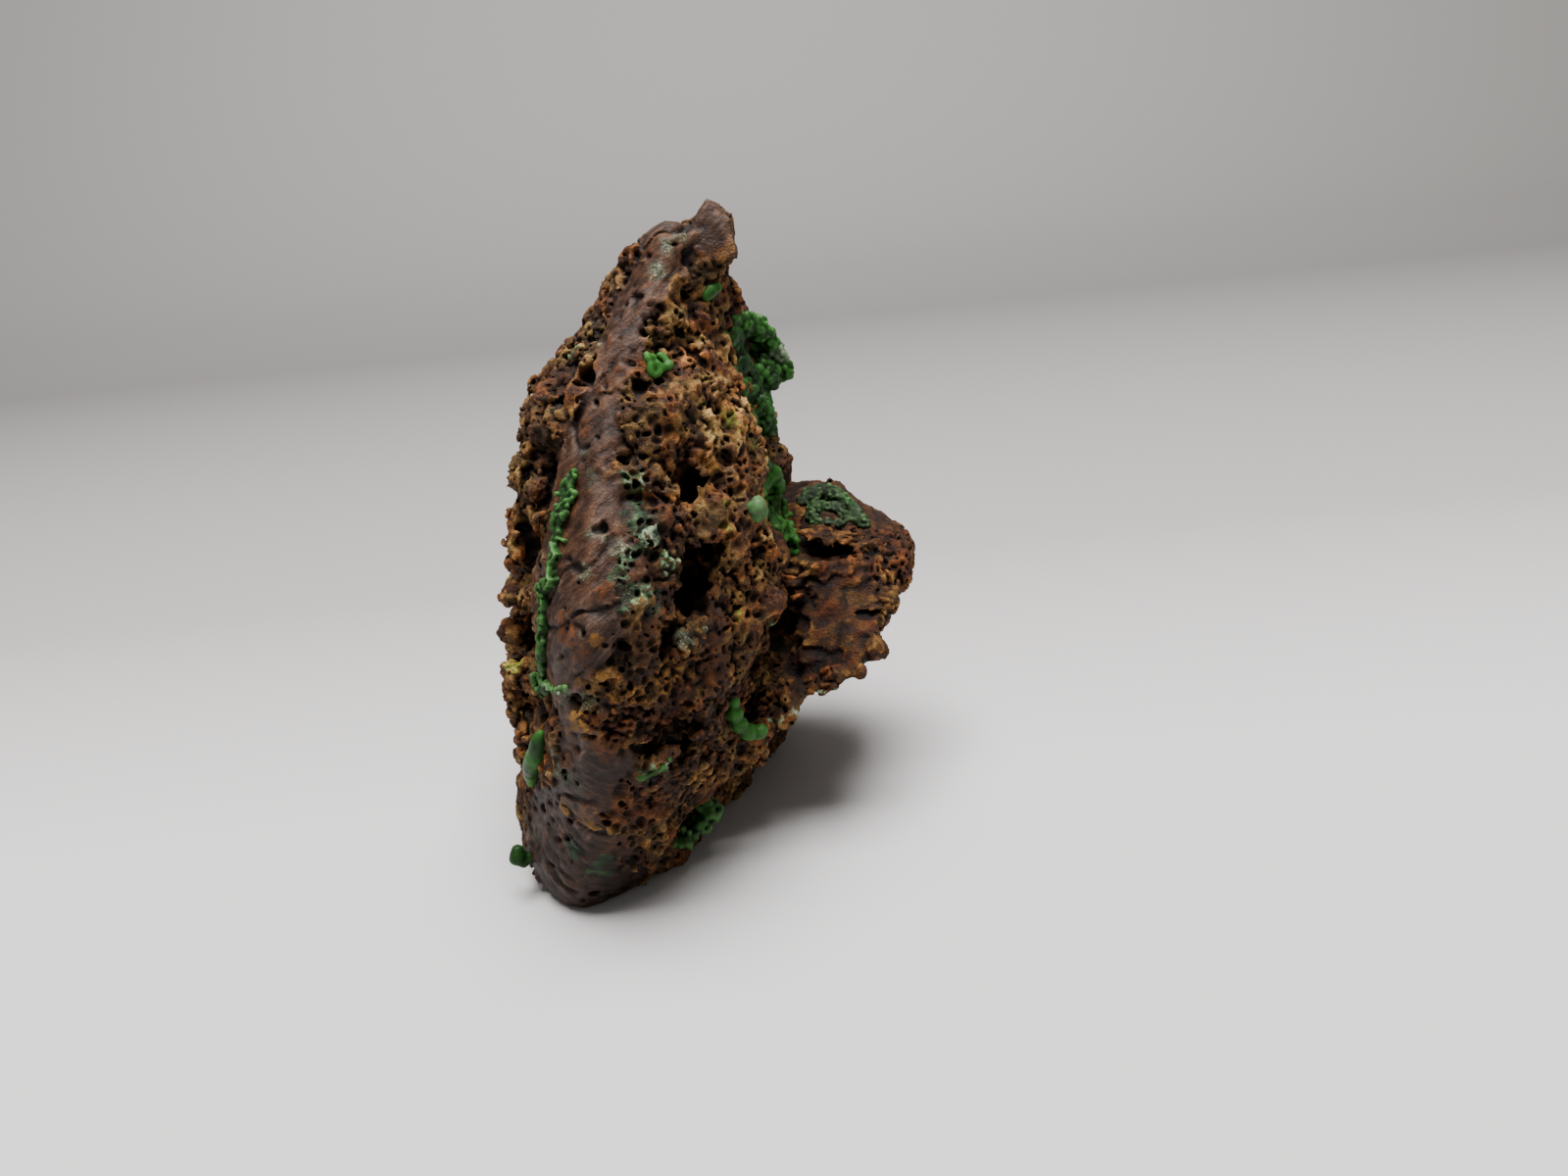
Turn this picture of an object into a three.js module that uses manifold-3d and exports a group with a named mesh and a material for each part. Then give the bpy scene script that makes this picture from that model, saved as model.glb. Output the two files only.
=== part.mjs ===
// A conichalcite specimen: a broken slab of brown limonite that stands on its narrow end, a rounded lobe of
// the same rock behind it, and crusts of green conichalcite beads grown on both.
// Millimetres, +Z up. The broken edge of the slab faces -Y and the lobe lies towards +X. The outlines and
// places below are measured from one upright line through the slab; main() then moves the whole specimen
// over the origin.

import * as THREE from 'three';
import { ImprovedNoise } from 'three/addons/math/ImprovedNoise.js';
import { mergeVertices } from 'three/addons/utils/BufferGeometryUtils.js';
import Module from 'manifold-3d';

const wasm = await Module();
wasm.setup();

// Driving dimensions
const slabHeight = 55;
const slabRoughness = 0.9;
const lobeRoughness = 0.7;
const crustGap = 0.3;
const pitCount = 7;
const grainCount = 12;
const knobCount = 11;

// How many corners each loft has around, and how many steps up.
const slabFacets = { around: 34, up: 18 };
const lobeFacets = { around: 20, up: 8 };

// The slab's outlines, from the sole to the summit: height as a share of slabHeight, then ten points. They run
// from the nose of the broken face along the spongy front to the right flank, across the back and round by the
// left flank.
const slabOutlines = [
  [-0.03, [[-14, -15], [-9.5, -11.8], [-5.5, -7.5], [-2.5, -2], [1.5, 6],
    [3, 11], [-4, 13.5], [-14, 13], [-17.5, 3], [-18.4, -10]]],
  [0.02, [[-14.2, -16.6], [-9.4, -14.2], [-5.4, -10.4], [-1.8, -3.5], [2.5, 5.5],
    [4, 11.5], [-3.5, 15], [-14.5, 14], [-18.5, 3], [-19, -11.5]]],
  [0.08, [[-13, -17.8], [-8.6, -16], [-5, -12.8], [-1.4, -5], [4, 4],
    [6, 12], [-3, 16.5], [-15, 15.5], [-18.8, 3.5], [-19.2, -12.2]]],
  [0.18, [[-11.8, -18.6], [-6.2, -16.8], [-1.4, -12], [2.2, -5], [5.4, 3],
    [6.6, 13], [-3, 18], [-16, 16.5], [-19.5, 5], [-18.2, -9.8]]],
  [0.31, [[-11, -20], [-4.5, -18.5], [2, -11.2], [4.4, -3], [5.4, 6],
    [6.5, 14.5], [-3, 19.5], [-16, 17.5], [-20, 6], [-17.8, -9]]],
  [0.44, [[-9.5, -21], [-3, -18], [4.2, -10], [5.4, -2], [5.4, 8],
    [6.6, 15.5], [-2, 20], [-15.5, 18], [-19, 6], [-16.8, -8]]],
  [0.56, [[-8.3, -20], [-2, -16], [5, -8], [5.6, 0], [5.6, 10],
    [6.2, 17], [-2, 20], [-14, 17.5], [-17.5, 6], [-16, -7]]],
  [0.69, [[-7.5, -14.5], [-1, -11.5], [4.6, -5], [5.4, 2], [5.8, 10],
    [6.2, 16.5], [-1, 18.5], [-11.5, 15.5], [-15, 5], [-14, -6]]],
  [0.8, [[-5.5, -9.5], [-0.5, -7.5], [3.2, -2], [4.4, 4], [4.8, 10],
    [4.8, 14.5], [-0.5, 16], [-8.4, 12.5], [-11.6, 4], [-10.8, -4.8]]],
  [0.9, [[-2.6, -5.8], [0.8, -4.2], [4, 0.2], [4.2, 3.5], [3.2, 7],
    [1.6, 9.5], [-1.8, 9.6], [-5, 7.5], [-6.4, 3], [-5.8, -2.6]]],
  [0.98, [[-0.2, -3], [1.5, -2], [3.6, 0.8], [3.8, 3.2], [2.8, 5],
    [1.5, 6], [0, 5], [-1, 3.2], [-1.5, 1], [-1.4, -1.8]]],
];

// The lobe's outlines, in the same way: eight points each, from where it leaves the slab round by the front.
const lobeOutlines = [
  [0.13, [[-2, -7], [0.2, -9.4], [1.8, -8], [2.6, -3], [3.4, 4], [2, 8], [-3, 6], [-4, -2]]],
  [0.205, [[-1, -6], [1.8, -9.6], [3.6, -8.2], [5.4, -3], [7.2, 5], [5.6, 11], [-2, 9], [-4, -2]]],
  [0.28, [[0, -3], [6.2, -7], [11.4, -8.6], [12.8, -3], [13, 6], [10, 13], [-1, 12], [-3, 0]]],
  [0.33, [[0, 1], [8.2, -1.8], [13.6, -4.8], [16.6, 1.5], [17.2, 8.5], [12.5, 15], [0, 14], [-3, 4]]],
  [0.385, [[0, 3], [8.8, 0.8], [14.6, -0.8], [18.4, 4], [18, 10], [13, 16], [0, 15], [-3, 6]]],
  [0.435, [[1, 6], [9, 4], [13.8, 4.2], [17, 8], [16.6, 12], [12.5, 16.5], [1, 16], [-2, 9]]],
  [0.47, [[2, 9], [7.5, 8.5], [11.2, 9.6], [13.4, 12.4], [12.6, 15], [10.2, 16.6], [3, 16.6], [1, 12]]],
  [0.482, [[4, 11.5], [7.2, 11], [9.2, 12], [10.2, 13.4], [9.8, 14.8], [8.4, 15.6], [5, 15.6], [3.6, 13.5]]],
];

// The smooth broken band down the front: height, its middle in x, and half its width.
const bandLine = [
  [0, -13.5, 5], [8, -12.4, 6], [14, -10.5, 4], [20, -9.5, 4], [26, -9.5, 4], [32, -8.8, 3.6],
  [38, -7.8, 2.6], [43, -6.3, 1.8], [48, -3.9, 1.5], [54, -1, 1.6],
];

// Where the ledge at the band's left edge runs. A gap lies behind it and a green ribbon hangs on it.
const ledgeRoute = [
  [-9.8, -11.5, 38.6], [-10.6, -13, 36.4], [-11.2, -15, 34], [-12, -15.4, 31.6], [-12.9, -15.6, 28.8],
  [-13.5, -16.4, 26], [-14, -16.6, 23.4], [-14.4, -16, 20], [-15.4, -14.6, 16.4], [-16.6, -12.6, 12],
];

// Directions to look along when something is set down on the rock, and a distance that is well clear of it.
const fromFront = [0, 1, 0];
const fromBack = [0, -1, 0];
const fromRight = [-1, 0, 0];
const fromAbove = [0, 0, -1];
const wellOutside = 40;

const noise = new ImprovedNoise();

// A number from low to high that is the same in every run.
function draw(low, high) {
  return low + (high - low) * THREE.MathUtils.seededRandom();
}

function vectors(points) {
  return points.map((p) => new THREE.Vector3(...p));
}

// Lumpy noise: one broad wave and one half its size, about -1 to 1.
function lumpiness(point, size) {
  const p = point.clone().divideScalar(size);
  return noise.noise(p.x, p.y, p.z) + 0.5 * noise.noise(2 * p.x + 7, 2 * p.y, 2 * p.z);
}

// 0 in the middle of the broken band, 1 outside it.
function offBand(point) {
  const above = Math.max(1, bandLine.findIndex(([height]) => height > point.z));
  const [low, high] = [bandLine[above - 1], bandLine[above]];
  const share = THREE.MathUtils.clamp((point.z - low[0]) / (high[0] - low[0]), 0, 1);
  const middle = THREE.MathUtils.lerp(low[1], high[1], share);
  const half = THREE.MathUtils.lerp(low[2], high[2], share);
  const behind = point.y < 0 ? 0 : 1;
  return Math.max(behind, THREE.MathUtils.smoothstep(Math.abs(point.x - middle) / half, 0.7, 1.2));
}

// Merges the shared corners of a geometry, which leaves position alone in it.
function welded(geometry) {
  geometry.deleteAttribute('normal');
  geometry.deleteAttribute('uv');
  return mergeVertices(geometry, 1e-4);
}

// Moves every corner of a welded geometry along its normal: a constant swell and the lumpy noise.
function roughened(geometry, amount, size, swell) {
  geometry.computeVertexNormals();
  const position = geometry.attributes.position;
  const normal = geometry.attributes.normal;
  for (let i = 0; i < position.count; i++) {
    const p = new THREE.Vector3().fromBufferAttribute(position, i);
    const n = new THREE.Vector3().fromBufferAttribute(normal, i);
    const calm = 0.25 + 0.75 * offBand(p);
    p.addScaledVector(n, swell + amount * calm * lumpiness(p, size));
    position.setXYZ(i, p.x, p.y, p.z);
  }
  geometry.deleteAttribute('normal');
  return geometry;
}

// Turns a welded geometry into a solid that can be joined and cut.
function solid(geometry) {
  const mesh = new wasm.Mesh({
    numProp: 3,
    vertProperties: new Float32Array(geometry.attributes.position.array),
    triVerts: new Uint32Array(geometry.index.array),
  });
  return new wasm.Manifold(mesh);
}

function joined(solids) {
  return solids.reduce((whole, next) => whole.add(next));
}

// Turns a solid into a named three.js mesh.
function finished(name, shape, material) {
  const { vertProperties, triVerts } = shape.getMesh();
  const geometry = new THREE.BufferGeometry();
  geometry.setAttribute('position', new THREE.BufferAttribute(vertProperties, 3));
  geometry.setIndex(new THREE.BufferAttribute(triVerts, 1));
  geometry.computeVertexNormals();
  const mesh = new THREE.Mesh(geometry, material);
  mesh.name = name;
  return mesh;
}

// The middle of one ring of corners.
function ringMiddle(corners, ring, around) {
  const sum = new THREE.Vector3();
  for (let i = 0; i < around; i++) {
    sum.add(new THREE.Vector3().fromArray(corners, (ring * around + i) * 3));
  }
  return sum.divideScalar(around);
}

// A closed skin through the outlines: smooth around each one, and smooth from one to the next.
function loft(outlines, { around, up }) {
  const loops = outlines.map(([share, points]) => new THREE.CatmullRomCurve3(
    vectors(points.map(([x, y]) => [x, y, share * slabHeight])), true));
  const columns = [];
  for (let i = 0; i < around; i++) {
    columns.push(new THREE.CatmullRomCurve3(loops.map((loop) => loop.getPoint(i / around))));
  }
  const corners = [];
  for (let j = 0; j <= up; j++) {
    for (const column of columns) {
      corners.push(...column.getPoint(j / up).toArray());
    }
  }
  const foot = corners.length / 3;
  const top = foot + 1;
  corners.push(...ringMiddle(corners, 0, around).toArray(), ...ringMiddle(corners, up, around).toArray());
  const faces = [];
  for (let i = 0; i < around; i++) {
    const next = (i + 1) % around;
    faces.push(foot, next, i);
    faces.push(top, up * around + i, up * around + next);
    for (let j = 0; j < up; j++) {
      const [a, b] = [j * around + i, j * around + next];
      faces.push(a, b, b + around, a, b + around, a + around);
    }
  }
  const geometry = new THREE.BufferGeometry();
  geometry.setAttribute('position', new THREE.Float32BufferAttribute(corners, 3));
  geometry.setIndex(faces);
  return geometry;
}

// A lump: a ball stretched to three radii, turned, roughened and set in place.
function lump(place, radii, turn = [0, 0, 0], detail = 1, swell = 0) {
  const ball = welded(new THREE.IcosahedronGeometry(1, detail));
  ball.applyMatrix4(new THREE.Matrix4().compose(
    new THREE.Vector3(...place),
    new THREE.Quaternion().setFromEuler(new THREE.Euler(...turn.map(THREE.MathUtils.degToRad))),
    new THREE.Vector3(...radii)));
  const least = Math.min(...radii);
  return solid(roughened(ball, 0.15 * least, 2 * least, swell));
}

// The slab and the lobe without their small features, swollen by a constant where a crust needs its
// clearance.
function bareRock(swell) {
  const slab = solid(roughened(loft(slabOutlines, slabFacets), slabRoughness, 5, swell));
  const lobe = solid(roughened(loft(lobeOutlines, lobeFacets), lobeRoughness, 4, swell));
  const crown = lump([-0.2, 0.4, 53], [1.9, 2.6, 1.8], [0, 10, 0], 1, swell);
  const summit = lump([2.9, 2.4, 53], [1.6, 1.8, 2.9], [0, 6, 0], 1, swell);
  return joined([slab, lobe, crown, summit]);
}

const rockProbe = finished('probe', bareRock(0), new THREE.MeshBasicMaterial({ side: THREE.DoubleSide }));

// The point of the bare rock that lies behind a place, looking from well outside along a direction.
function seated(place, along) {
  const direction = new THREE.Vector3(...along).normalize();
  const start = new THREE.Vector3(...place).addScaledVector(direction, -wellOutside);
  const [hit] = new THREE.Raycaster(start, direction).intersectObject(rockProbe);
  return hit ? hit.point : new THREE.Vector3(...place);
}

// Rounded knobs in two rows along the left edge, behind the gap.
function knobs(swell) {
  THREE.MathUtils.seededRandom(5);
  const route = new THREE.CatmullRomCurve3(vectors([
    [-11.4, -5, 42.4], [-13.7, -6.4, 38.6], [-14.8, -7.5, 34], [-15.6, -8.6, 29.6], [-16.5, -9.4, 25],
    [-17, -10.4, 20.6], [-17.1, -11, 16.4], [-17.2, -12, 13]]));
  const row = [];
  for (let i = 0; i < knobCount; i++) {
    const { x, y, z } = route.getPoint(i / (knobCount - 1));
    const radius = draw(1.15, 1.6);
    const side = i % 2 ? 0.7 : 0;
    row.push(lump([x + side, y - side, z], [radius, radius * 1.2, radius], [0, 0, draw(0, 90)], 1, swell));
  }
  return joined(row);
}

// Flat plates that stand out of the lobe one above the other, where it meets the slab.
function plates() {
  const layers = [];
  for (let i = 0; i < 4; i++) {
    layers.push(lump([7.6 + 0.5 * i, 1.4 + 0.5 * i, 19.4 + 1.2 * i], [2.4, 2, 0.5], [8, 10, 20 * i], 0));
  }
  return joined(layers);
}

// Broad lumps on the back, which is broken as unevenly as the rest.
function backLumps() {
  THREE.MathUtils.seededRandom(31);
  const places = [[-12, 12], [-3.5, 17], [-10, 24], [0.5, 29], [-7, 36], [-14, 33]];
  return joined(places.map(([x, z]) => {
    const radius = draw(2, 2.8);
    const radii = [radius, 0.5 * radius, radius * draw(0.7, 1)];
    return lump(seated([x, 0, z], fromBack).toArray(), radii, [0, 0, 0], 0);
  }));
}

// Points of the spongy front, right of the band, that keep clear of the given spots and of one another.
function spongePoints(count, spots) {
  const points = [];
  while (points.length < count) {
    const z = draw(9, 52);
    const width = 11 * Math.sin(Math.PI * (z + 6) / 68);
    const point = seated([4.8 - draw(0, 1) * width, 0, z], fromFront);
    const nearSpot = spots.some(({ place, radius }) => place.distanceTo(point) < radius + 1.3);
    const nearPoint = points.some((other) => other.distanceTo(point) < 2.4);
    if (!nearSpot && !nearPoint && offBand(point) > 0.6) {
      points.push(point);
    }
  }
  return points;
}

// Angular grains over the spongy front, and four that stand out of its right edge and the lobe's lower tip.
function grains(points) {
  const scattered = points.map((point) => {
    const radius = draw(0.8, 1.3);
    return lump(point.toArray(), [radius, radius, radius * draw(0.7, 1.1)], [draw(0, 90), draw(0, 90), 0], 0);
  });
  const onEdges = [
    lump([4.4, 3.4, 47.8], [1.1, 1.4, 1.2]),
    lump([5.4, -7.2, 29.4], [1.1, 1.2, 1]),
    lump([5.4, -4, 22.6], [1.3, 1.3, 1.2]),
    lump([11.8, -7.4, 15.7], [1.2, 1.5, 1.2]),
  ];
  return joined([...scattered, ...onEdges]);
}

// Small pits between the grains.
function pits(points) {
  return joined(points.map((point) => {
    const radius = draw(0.7, 1.1);
    return lump(point.toArray(), [radius, 1.4 * radius, radius], [draw(0, 90), 0, 0], 0);
  }));
}

// The larger hollows of the front: where each lies in x and z, and its three radii.
const frontHollows = [
  [-0.8, 29.4, [1.9, 3.2, 3]],
  [-0.6, 36.2, [1.1, 2.4, 1.9]],
  [-3.4, 25.4, [1.4, 2.2, 1.2]],
  [-2.9, 15.4, [2.9, 2.2, 1.4]],
  [1.1, 49.4, [0.8, 1.3, 0.8]],
  [-6.2, 27, [1.1, 1.4, 0.8]],
  [-7.6, 44.6, [0.9, 1.6, 1]],
].map(([x, z, radii]) => ({ place: seated([x, 0, z], fromFront), radius: Math.max(...radii), radii }));

function hollows() {
  const front = frontHollows.map(({ place, radius, radii }) => lump(
    place.toArray(), radii, [12, 0, 8], radius > 2 ? 1 : 0));
  const besideLobe = lump([5, -4.6, 17.6], [1.6, 4.6, 2.8], [0, 12, 0]);
  const crevice = lump(seated([11.6, 0, 23], fromFront).toArray(), [2.6, 2, 0.7], [0, -14, 10]);
  return joined([...front, besideLobe, crevice]);
}

// The gap behind the ledge: a channel sunk in the rock just left of it.
function ledgeGap() {
  const route = new THREE.CatmullRomCurve3(
    ledgeRoute.map(([x, y, z]) => seated([x - 1.5, y, z], fromFront).add(new THREE.Vector3(0, 0.6, 0))));
  const section = new THREE.Shape();
  section.absellipse(0, 0, 1, 1.7, 0, 2 * Math.PI);
  const channel = new THREE.ExtrudeGeometry(section, { steps: 11, curveSegments: 3, extrudePath: route });
  return solid(welded(channel));
}

// Everything below the flat sole.
function belowSole() {
  const under = new THREE.BoxGeometry(90, 90, 20);
  under.translate(0, 0, -10);
  return solid(welded(under));
}

// The whole rock: slab and lobe less the hollows, with what stands out of them, on a flat sole. The grains and
// pits keep clear of the crusts' beads.
function limoniteMatrix(beads) {
  THREE.MathUtils.seededRandom(11);
  const points = spongePoints(grainCount + pitCount, [...beads, ...frontHollows]);
  return bareRock(0)
    .subtract(joined([ledgeGap(), hollows(), pits(points.slice(grainCount))]))
    .add(joined([grains(points.slice(0, grainCount)), plates(), knobs(0), backLumps()]))
    .subtract(belowSole());
}

// Beads grown together along a route on the rock, close enough to be one piece. Their middles stand out of the
// rock by a share of their radius, and each is a little smaller or larger than the last. A route with no
// direction to look along gives the beads' own places.
function strand(route, radius, { along = fromFront, closed = false, detail = 0, raised = 0.45 } = {}) {
  const curve = new THREE.CatmullRomCurve3(vectors(route), closed);
  const lift = new THREE.Vector3(...(along ?? [0, 0, 0])).normalize().multiplyScalar(-raised * radius);
  const spots = curve.getPoints(12).map((p) => (along ? seated(p.toArray(), along).add(lift) : p));
  const onRock = new THREE.CatmullRomCurve3(closed ? spots.slice(0, -1) : spots, closed);
  const count = Math.ceil(onRock.getLength() / (1.25 * radius));
  const beads = [];
  for (let i = 0; i < (closed ? count : count + 1); i++) {
    beads.push({ place: onRock.getPointAt(i / count), radius: radius * draw(0.86, 1.16), detail });
  }
  return beads;
}

// Rows of beads that cover a patch of the right flank: each row has its height and where it starts and ends
// in y.
function flankPatch(rows, radius, detail) {
  return rows.flatMap(([height, near, far]) => strand(
    [[0, near, height], [0, (near + far) / 2, height + draw(-0.6, 0.6)], [0, far, height]],
    radius, { along: fromRight, detail, raised: -0.15 }));
}

// The beads of every crust.
function crustBeads() {
  THREE.MathUtils.seededRandom(23);
  return {
    conichalcite_rear_patch: flankPatch([
      [42.2, 11, 15], [39.5, 8, 16.6], [36.8, 7, 14.6]], 2.1, 1),
    conichalcite_neck_crust: [
      ...flankPatch([[32, 9.6, 13], [29.4, 6.4, 13.4]], 1.6, 0),
      ...strand([[6, 0, 28.6], [6.3, 0, 26], [6.6, 0, 23.8]], 1.2)],
    conichalcite_left_ribbon: strand(ledgeRoute.slice(0, 8), 1),
    conichalcite_left_vein: strand([[-15, 0, 18], [-15.4, 0, 15.6], [-16.6, 0, 11.6]], 1),
    conichalcite_front_cluster: strand(
      [[-3.2, 0, 45.4], [-2.4, 0, 46.2], [-1.6, 0, 45.4], [-2.4, 0, 44.6]], 0.62, { closed: true }),
    conichalcite_top_bead: strand([[2.4, 0, 49.2], [2.9, 0, 48.8]], 0.7),
    conichalcite_pale_bead: strand([[4.3, 0, 32.9], [4.4, 0, 32.4]], 1.1, { detail: 1 }),
    conichalcite_hook: strand([[0.9, 0, 16.2], [1.2, 0, 14.2], [2, 0, 12.6], [2.6, 0, 13.2]], 0.8),
    conichalcite_hollow_rims: strand([[-6, 0, 17], [-6.2, 0, 15.2], [-5, 0, 13.8]], 0.8),
    conichalcite_rim_tuft: strand(
      [[-2.4, -10.4, 5], [-3.4, -11, 4.2], [-4.8, -12, 3.6]], 1.3, { along: null }),
    conichalcite_foot_bead: strand([[-20, -12.9, 4.7], [-19.3, -12.6, 4.2]], 1, { along: null }),
    conichalcite_lobe_crust: strand(
      [[8.8, 12, 0], [10, 10.6, 0], [11.2, 11.6, 0], [10.4, 13.2, 0]], 1, { along: fromAbove }),
  };
}

function main() {
  const limonite = new THREE.MeshStandardMaterial({ color: 0x6b4a33, roughness: 0.8, metalness: 0 });
  const specimen = new THREE.Group();
  const crusts = Object.entries(crustBeads());
  const beads = crusts.flatMap(([, list]) => list);
  specimen.add(finished('limonite_matrix', limoniteMatrix(beads), limonite));
  const clearance = joined([bareRock(crustGap), knobs(crustGap), belowSole()]);
  for (const [name, list] of crusts) {
    const green = new THREE.MeshStandardMaterial({ color: 0x2f8f4a, roughness: 0.45, metalness: 0 });
    const grown = joined(list.map(({ place, radius, detail }) => lump(
      place.toArray(), [radius, radius, radius], [0, 0, draw(0, 72)], detail)));
    specimen.add(finished(name, grown.subtract(clearance), green));
  }
  const middle = new THREE.Box3().setFromObject(specimen).getCenter(new THREE.Vector3());
  for (const piece of specimen.children) {
    piece.geometry.translate(-middle.x, -middle.y, 0);
  }
  return specimen;
}

export default main();
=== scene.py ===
# A conichalcite specimen on a plain pale floor: a broken slab of brown limonite that stands on its narrow end, a
# lobe of the same rock behind it, and the green crusts grown on both. Shapes are worked out in millimetres.

import math

import bpy
import numpy as np
import openvdb
from mathutils import Matrix


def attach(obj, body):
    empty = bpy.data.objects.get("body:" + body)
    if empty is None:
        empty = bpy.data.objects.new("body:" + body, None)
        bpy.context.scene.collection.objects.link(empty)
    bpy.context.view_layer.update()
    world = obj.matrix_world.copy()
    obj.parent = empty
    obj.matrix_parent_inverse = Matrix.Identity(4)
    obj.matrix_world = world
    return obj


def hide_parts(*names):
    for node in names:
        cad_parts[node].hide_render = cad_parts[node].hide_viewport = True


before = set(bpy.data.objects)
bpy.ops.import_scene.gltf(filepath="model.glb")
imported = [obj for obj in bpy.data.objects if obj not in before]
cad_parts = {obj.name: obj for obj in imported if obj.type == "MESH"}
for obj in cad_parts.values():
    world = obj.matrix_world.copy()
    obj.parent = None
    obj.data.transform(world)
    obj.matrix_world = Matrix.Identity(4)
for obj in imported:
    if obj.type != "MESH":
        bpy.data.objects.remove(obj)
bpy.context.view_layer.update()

# The limonite rock. A broken piece of gossan: spongy iron oxide with a dense band down its broken edge. It grew as
# one piece, so it is worked out as one skin: the signed distance to the plain solid, on a grid of cubes, which the
# sponge's own relief then raises and sinks.

MM = 0.001
rock_step = 0.2

# How deep the distance is worked out, in mm, and how often it is blurred, which rounds the solid's corners.
known_depth = 2.4
corner_passes = 3


def blurred(values, passes):
    """Each pass averages every value with its neighbours along the three axes, with weights 1, 2 and 1."""
    for _ in range(passes):
        for axis in range(3):
            before, after = np.roll(values, 1, axis), np.roll(values, -1, axis)
            values = (before + 2 * values + after) / 4
    return values


def points_of(made):
    """The object's points, in mm, one row each."""
    points = np.empty(len(made.data.vertices) * 3, np.float32)
    made.data.vertices.foreach_get("co", points)
    return points.reshape(-1, 3) / MM


def distance_to(node, step, reach):
    """The signed distance from a CAD node's surface, in mm, on a grid of cubes of step mm: the values and the
    place of the first one. It is negative inside and true up to reach."""
    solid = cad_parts[node]
    solid.data.calc_loop_triangles()
    triangles = np.empty(len(solid.data.loop_triangles) * 3, np.int32)
    solid.data.loop_triangles.foreach_get("vertices", triangles)
    grid = openvdb.FloatGrid.createLevelSetFromPolygons(
        points_of(solid), triangles=triangles.reshape(-1, 3).astype(np.uint32),
        transform=openvdb.createLinearTransform(voxelSize=step), halfWidth=reach / step)
    low, high = grid.evalActiveVoxelBoundingBox()
    values = np.zeros([b - a + 1 for a, b in zip(low, high)], np.float32)
    grid.copyToArray(values, ijk=low)
    return values, np.array(low) * step


rock_values, rock_start = distance_to("limonite_matrix", rock_step, known_depth)
rock_values = blurred(rock_values, corner_passes)

# The rock's relief. The ore in it weathered out and left cells and grains of iron oxide. The band stayed dense and
# broke smooth, with streaks along its slant. Left of it are round knobs, and the lobe at the right is in thin layers.


def ease(x, low, high):
    """0 below low, 1 above high, and the smooth step 3t^2 - 2t^3 between them."""
    t = np.clip((x - low) / (high - low), 0, 1)
    return t * t * (3 - 2 * t)


def blend(a, b, share):
    """a where share is 0 and b where it is 1."""
    return a + (b - a) * share


def around(cell, shape):
    """For the eight corners of each point's cell: which corner it is, and its place in a grid of that shape, laid
    out in one row. The grid repeats for ever."""
    i, j, k = ([(cell[:, axis] + corner) % shape[axis] for corner in (0, 1)] for axis in range(3))
    for a, b, c in np.ndindex(2, 2, 2):
        yield (a, b, c), (i[a] * shape[1] + j[b]) * shape[2] + k[c]


def sampled(values, places):
    """A grid's values at places given in its own steps, on straight lines between the eight nearest."""
    cell = np.floor(places).astype(np.int32)
    x, y, z = (places - cell).astype(np.float32).T
    total = np.zeros(len(places), np.float32)
    for (a, b, c), row in around(cell, values.shape):
        total += (x if a else 1 - x) * (y if b else 1 - y) * (z if c else 1 - z) * values.ravel()[row]
    return total


def lumps(points, size, seed):
    """Smooth noise from -1 to 1 with bumps about size mm wide: random numbers on a lattice, eased between."""
    lattice = np.random.default_rng(seed).uniform(-1, 1, (37, 37, 37)).astype(np.float32)
    places = points / np.float32(size)
    cell = np.floor(places)
    share = places - cell
    return sampled(lattice, cell + share * share * (3 - 2 * share))


def cells(points, size, seed):
    """One seed is scattered in every cube of size mm. Returns each point's distance to its nearest seed and to the
    second nearest, in sizes, and the nearest seed's random number from 0 to 1."""
    shape = (31, 31, 31)
    seeds = np.random.default_rng(seed).uniform(0.1, 0.9, (4, 31 ** 3)).astype(np.float32)
    places = (points / size).astype(np.float32)
    cell = np.floor(places - 0.5).astype(np.int32)
    x, y, z = (places - cell).T
    nearest = np.full(len(points), 9, np.float32)
    second = nearest.copy()
    number = np.zeros(len(points), np.float32)
    for (a, b, c), row in around(cell, shape):
        away = (a + seeds[0][row] - x) ** 2 + (b + seeds[1][row] - y) ** 2 + (c + seeds[2][row] - z) ** 2
        closer = away < nearest
        second = np.where(closer, nearest, np.minimum(second, away))
        number = np.where(closer, seeds[3][row], number)
        nearest = np.where(closer, away, nearest)
    return np.sqrt(nearest), np.sqrt(second), (number - 0.1) / 0.8


def places_of(index, start, step):
    """Where grid values lie, in mm, from their index."""
    return (np.stack(index, axis=1) * step + start).astype(np.float32)


# The band's middle, by height: its place in x, half its width, and how far forward it lies.
band_line = np.array([
    [0, -12.6, 5.6, -15.5], [6, -13, 6.4, -16.5], [10, -13.4, 4.4, -17.3], [13, -10.6, 2.6, -18.8],
    [16, -8.6, 3.6, -20], [19, -9.4, 1.8, -20.2], [22.5, -11, 1.5, -20.3], [25, -10.2, 3.2, -20.6],
    [28, -9, 4.6, -20], [32, -7.9, 4.8, -18.2], [36, -7.2, 3.8, -15.6], [39, -6.9, 2.4, -13], [42, -5.6, 1.9, -10.6],
    [48, -2.8, 1.7, -6.4], [51, -0.4, 2.4, -4.6], [53, 1.6, 3.6, -3.6], [56, 3, 4.4, -2]])


def band_share(points):
    """1 on the dense band and the foot, 0 on the sponge: by the distance from the band's middle in its half
    widths, and only near the front."""
    x, y, z = points.T
    middle, half, forward = (np.interp(z, band_line[:, 0], band_line[:, c]) for c in (1, 2, 3))
    ragged = 0.35 * lumps(points, 1.4, 5) + 0.25 * lumps(points, 0.6, 6)
    across = 1 - ease(np.abs(x - middle) / half + ragged, 0.75, 1.15)
    return across * (1 - ease(y - forward, 4, 8))


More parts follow.
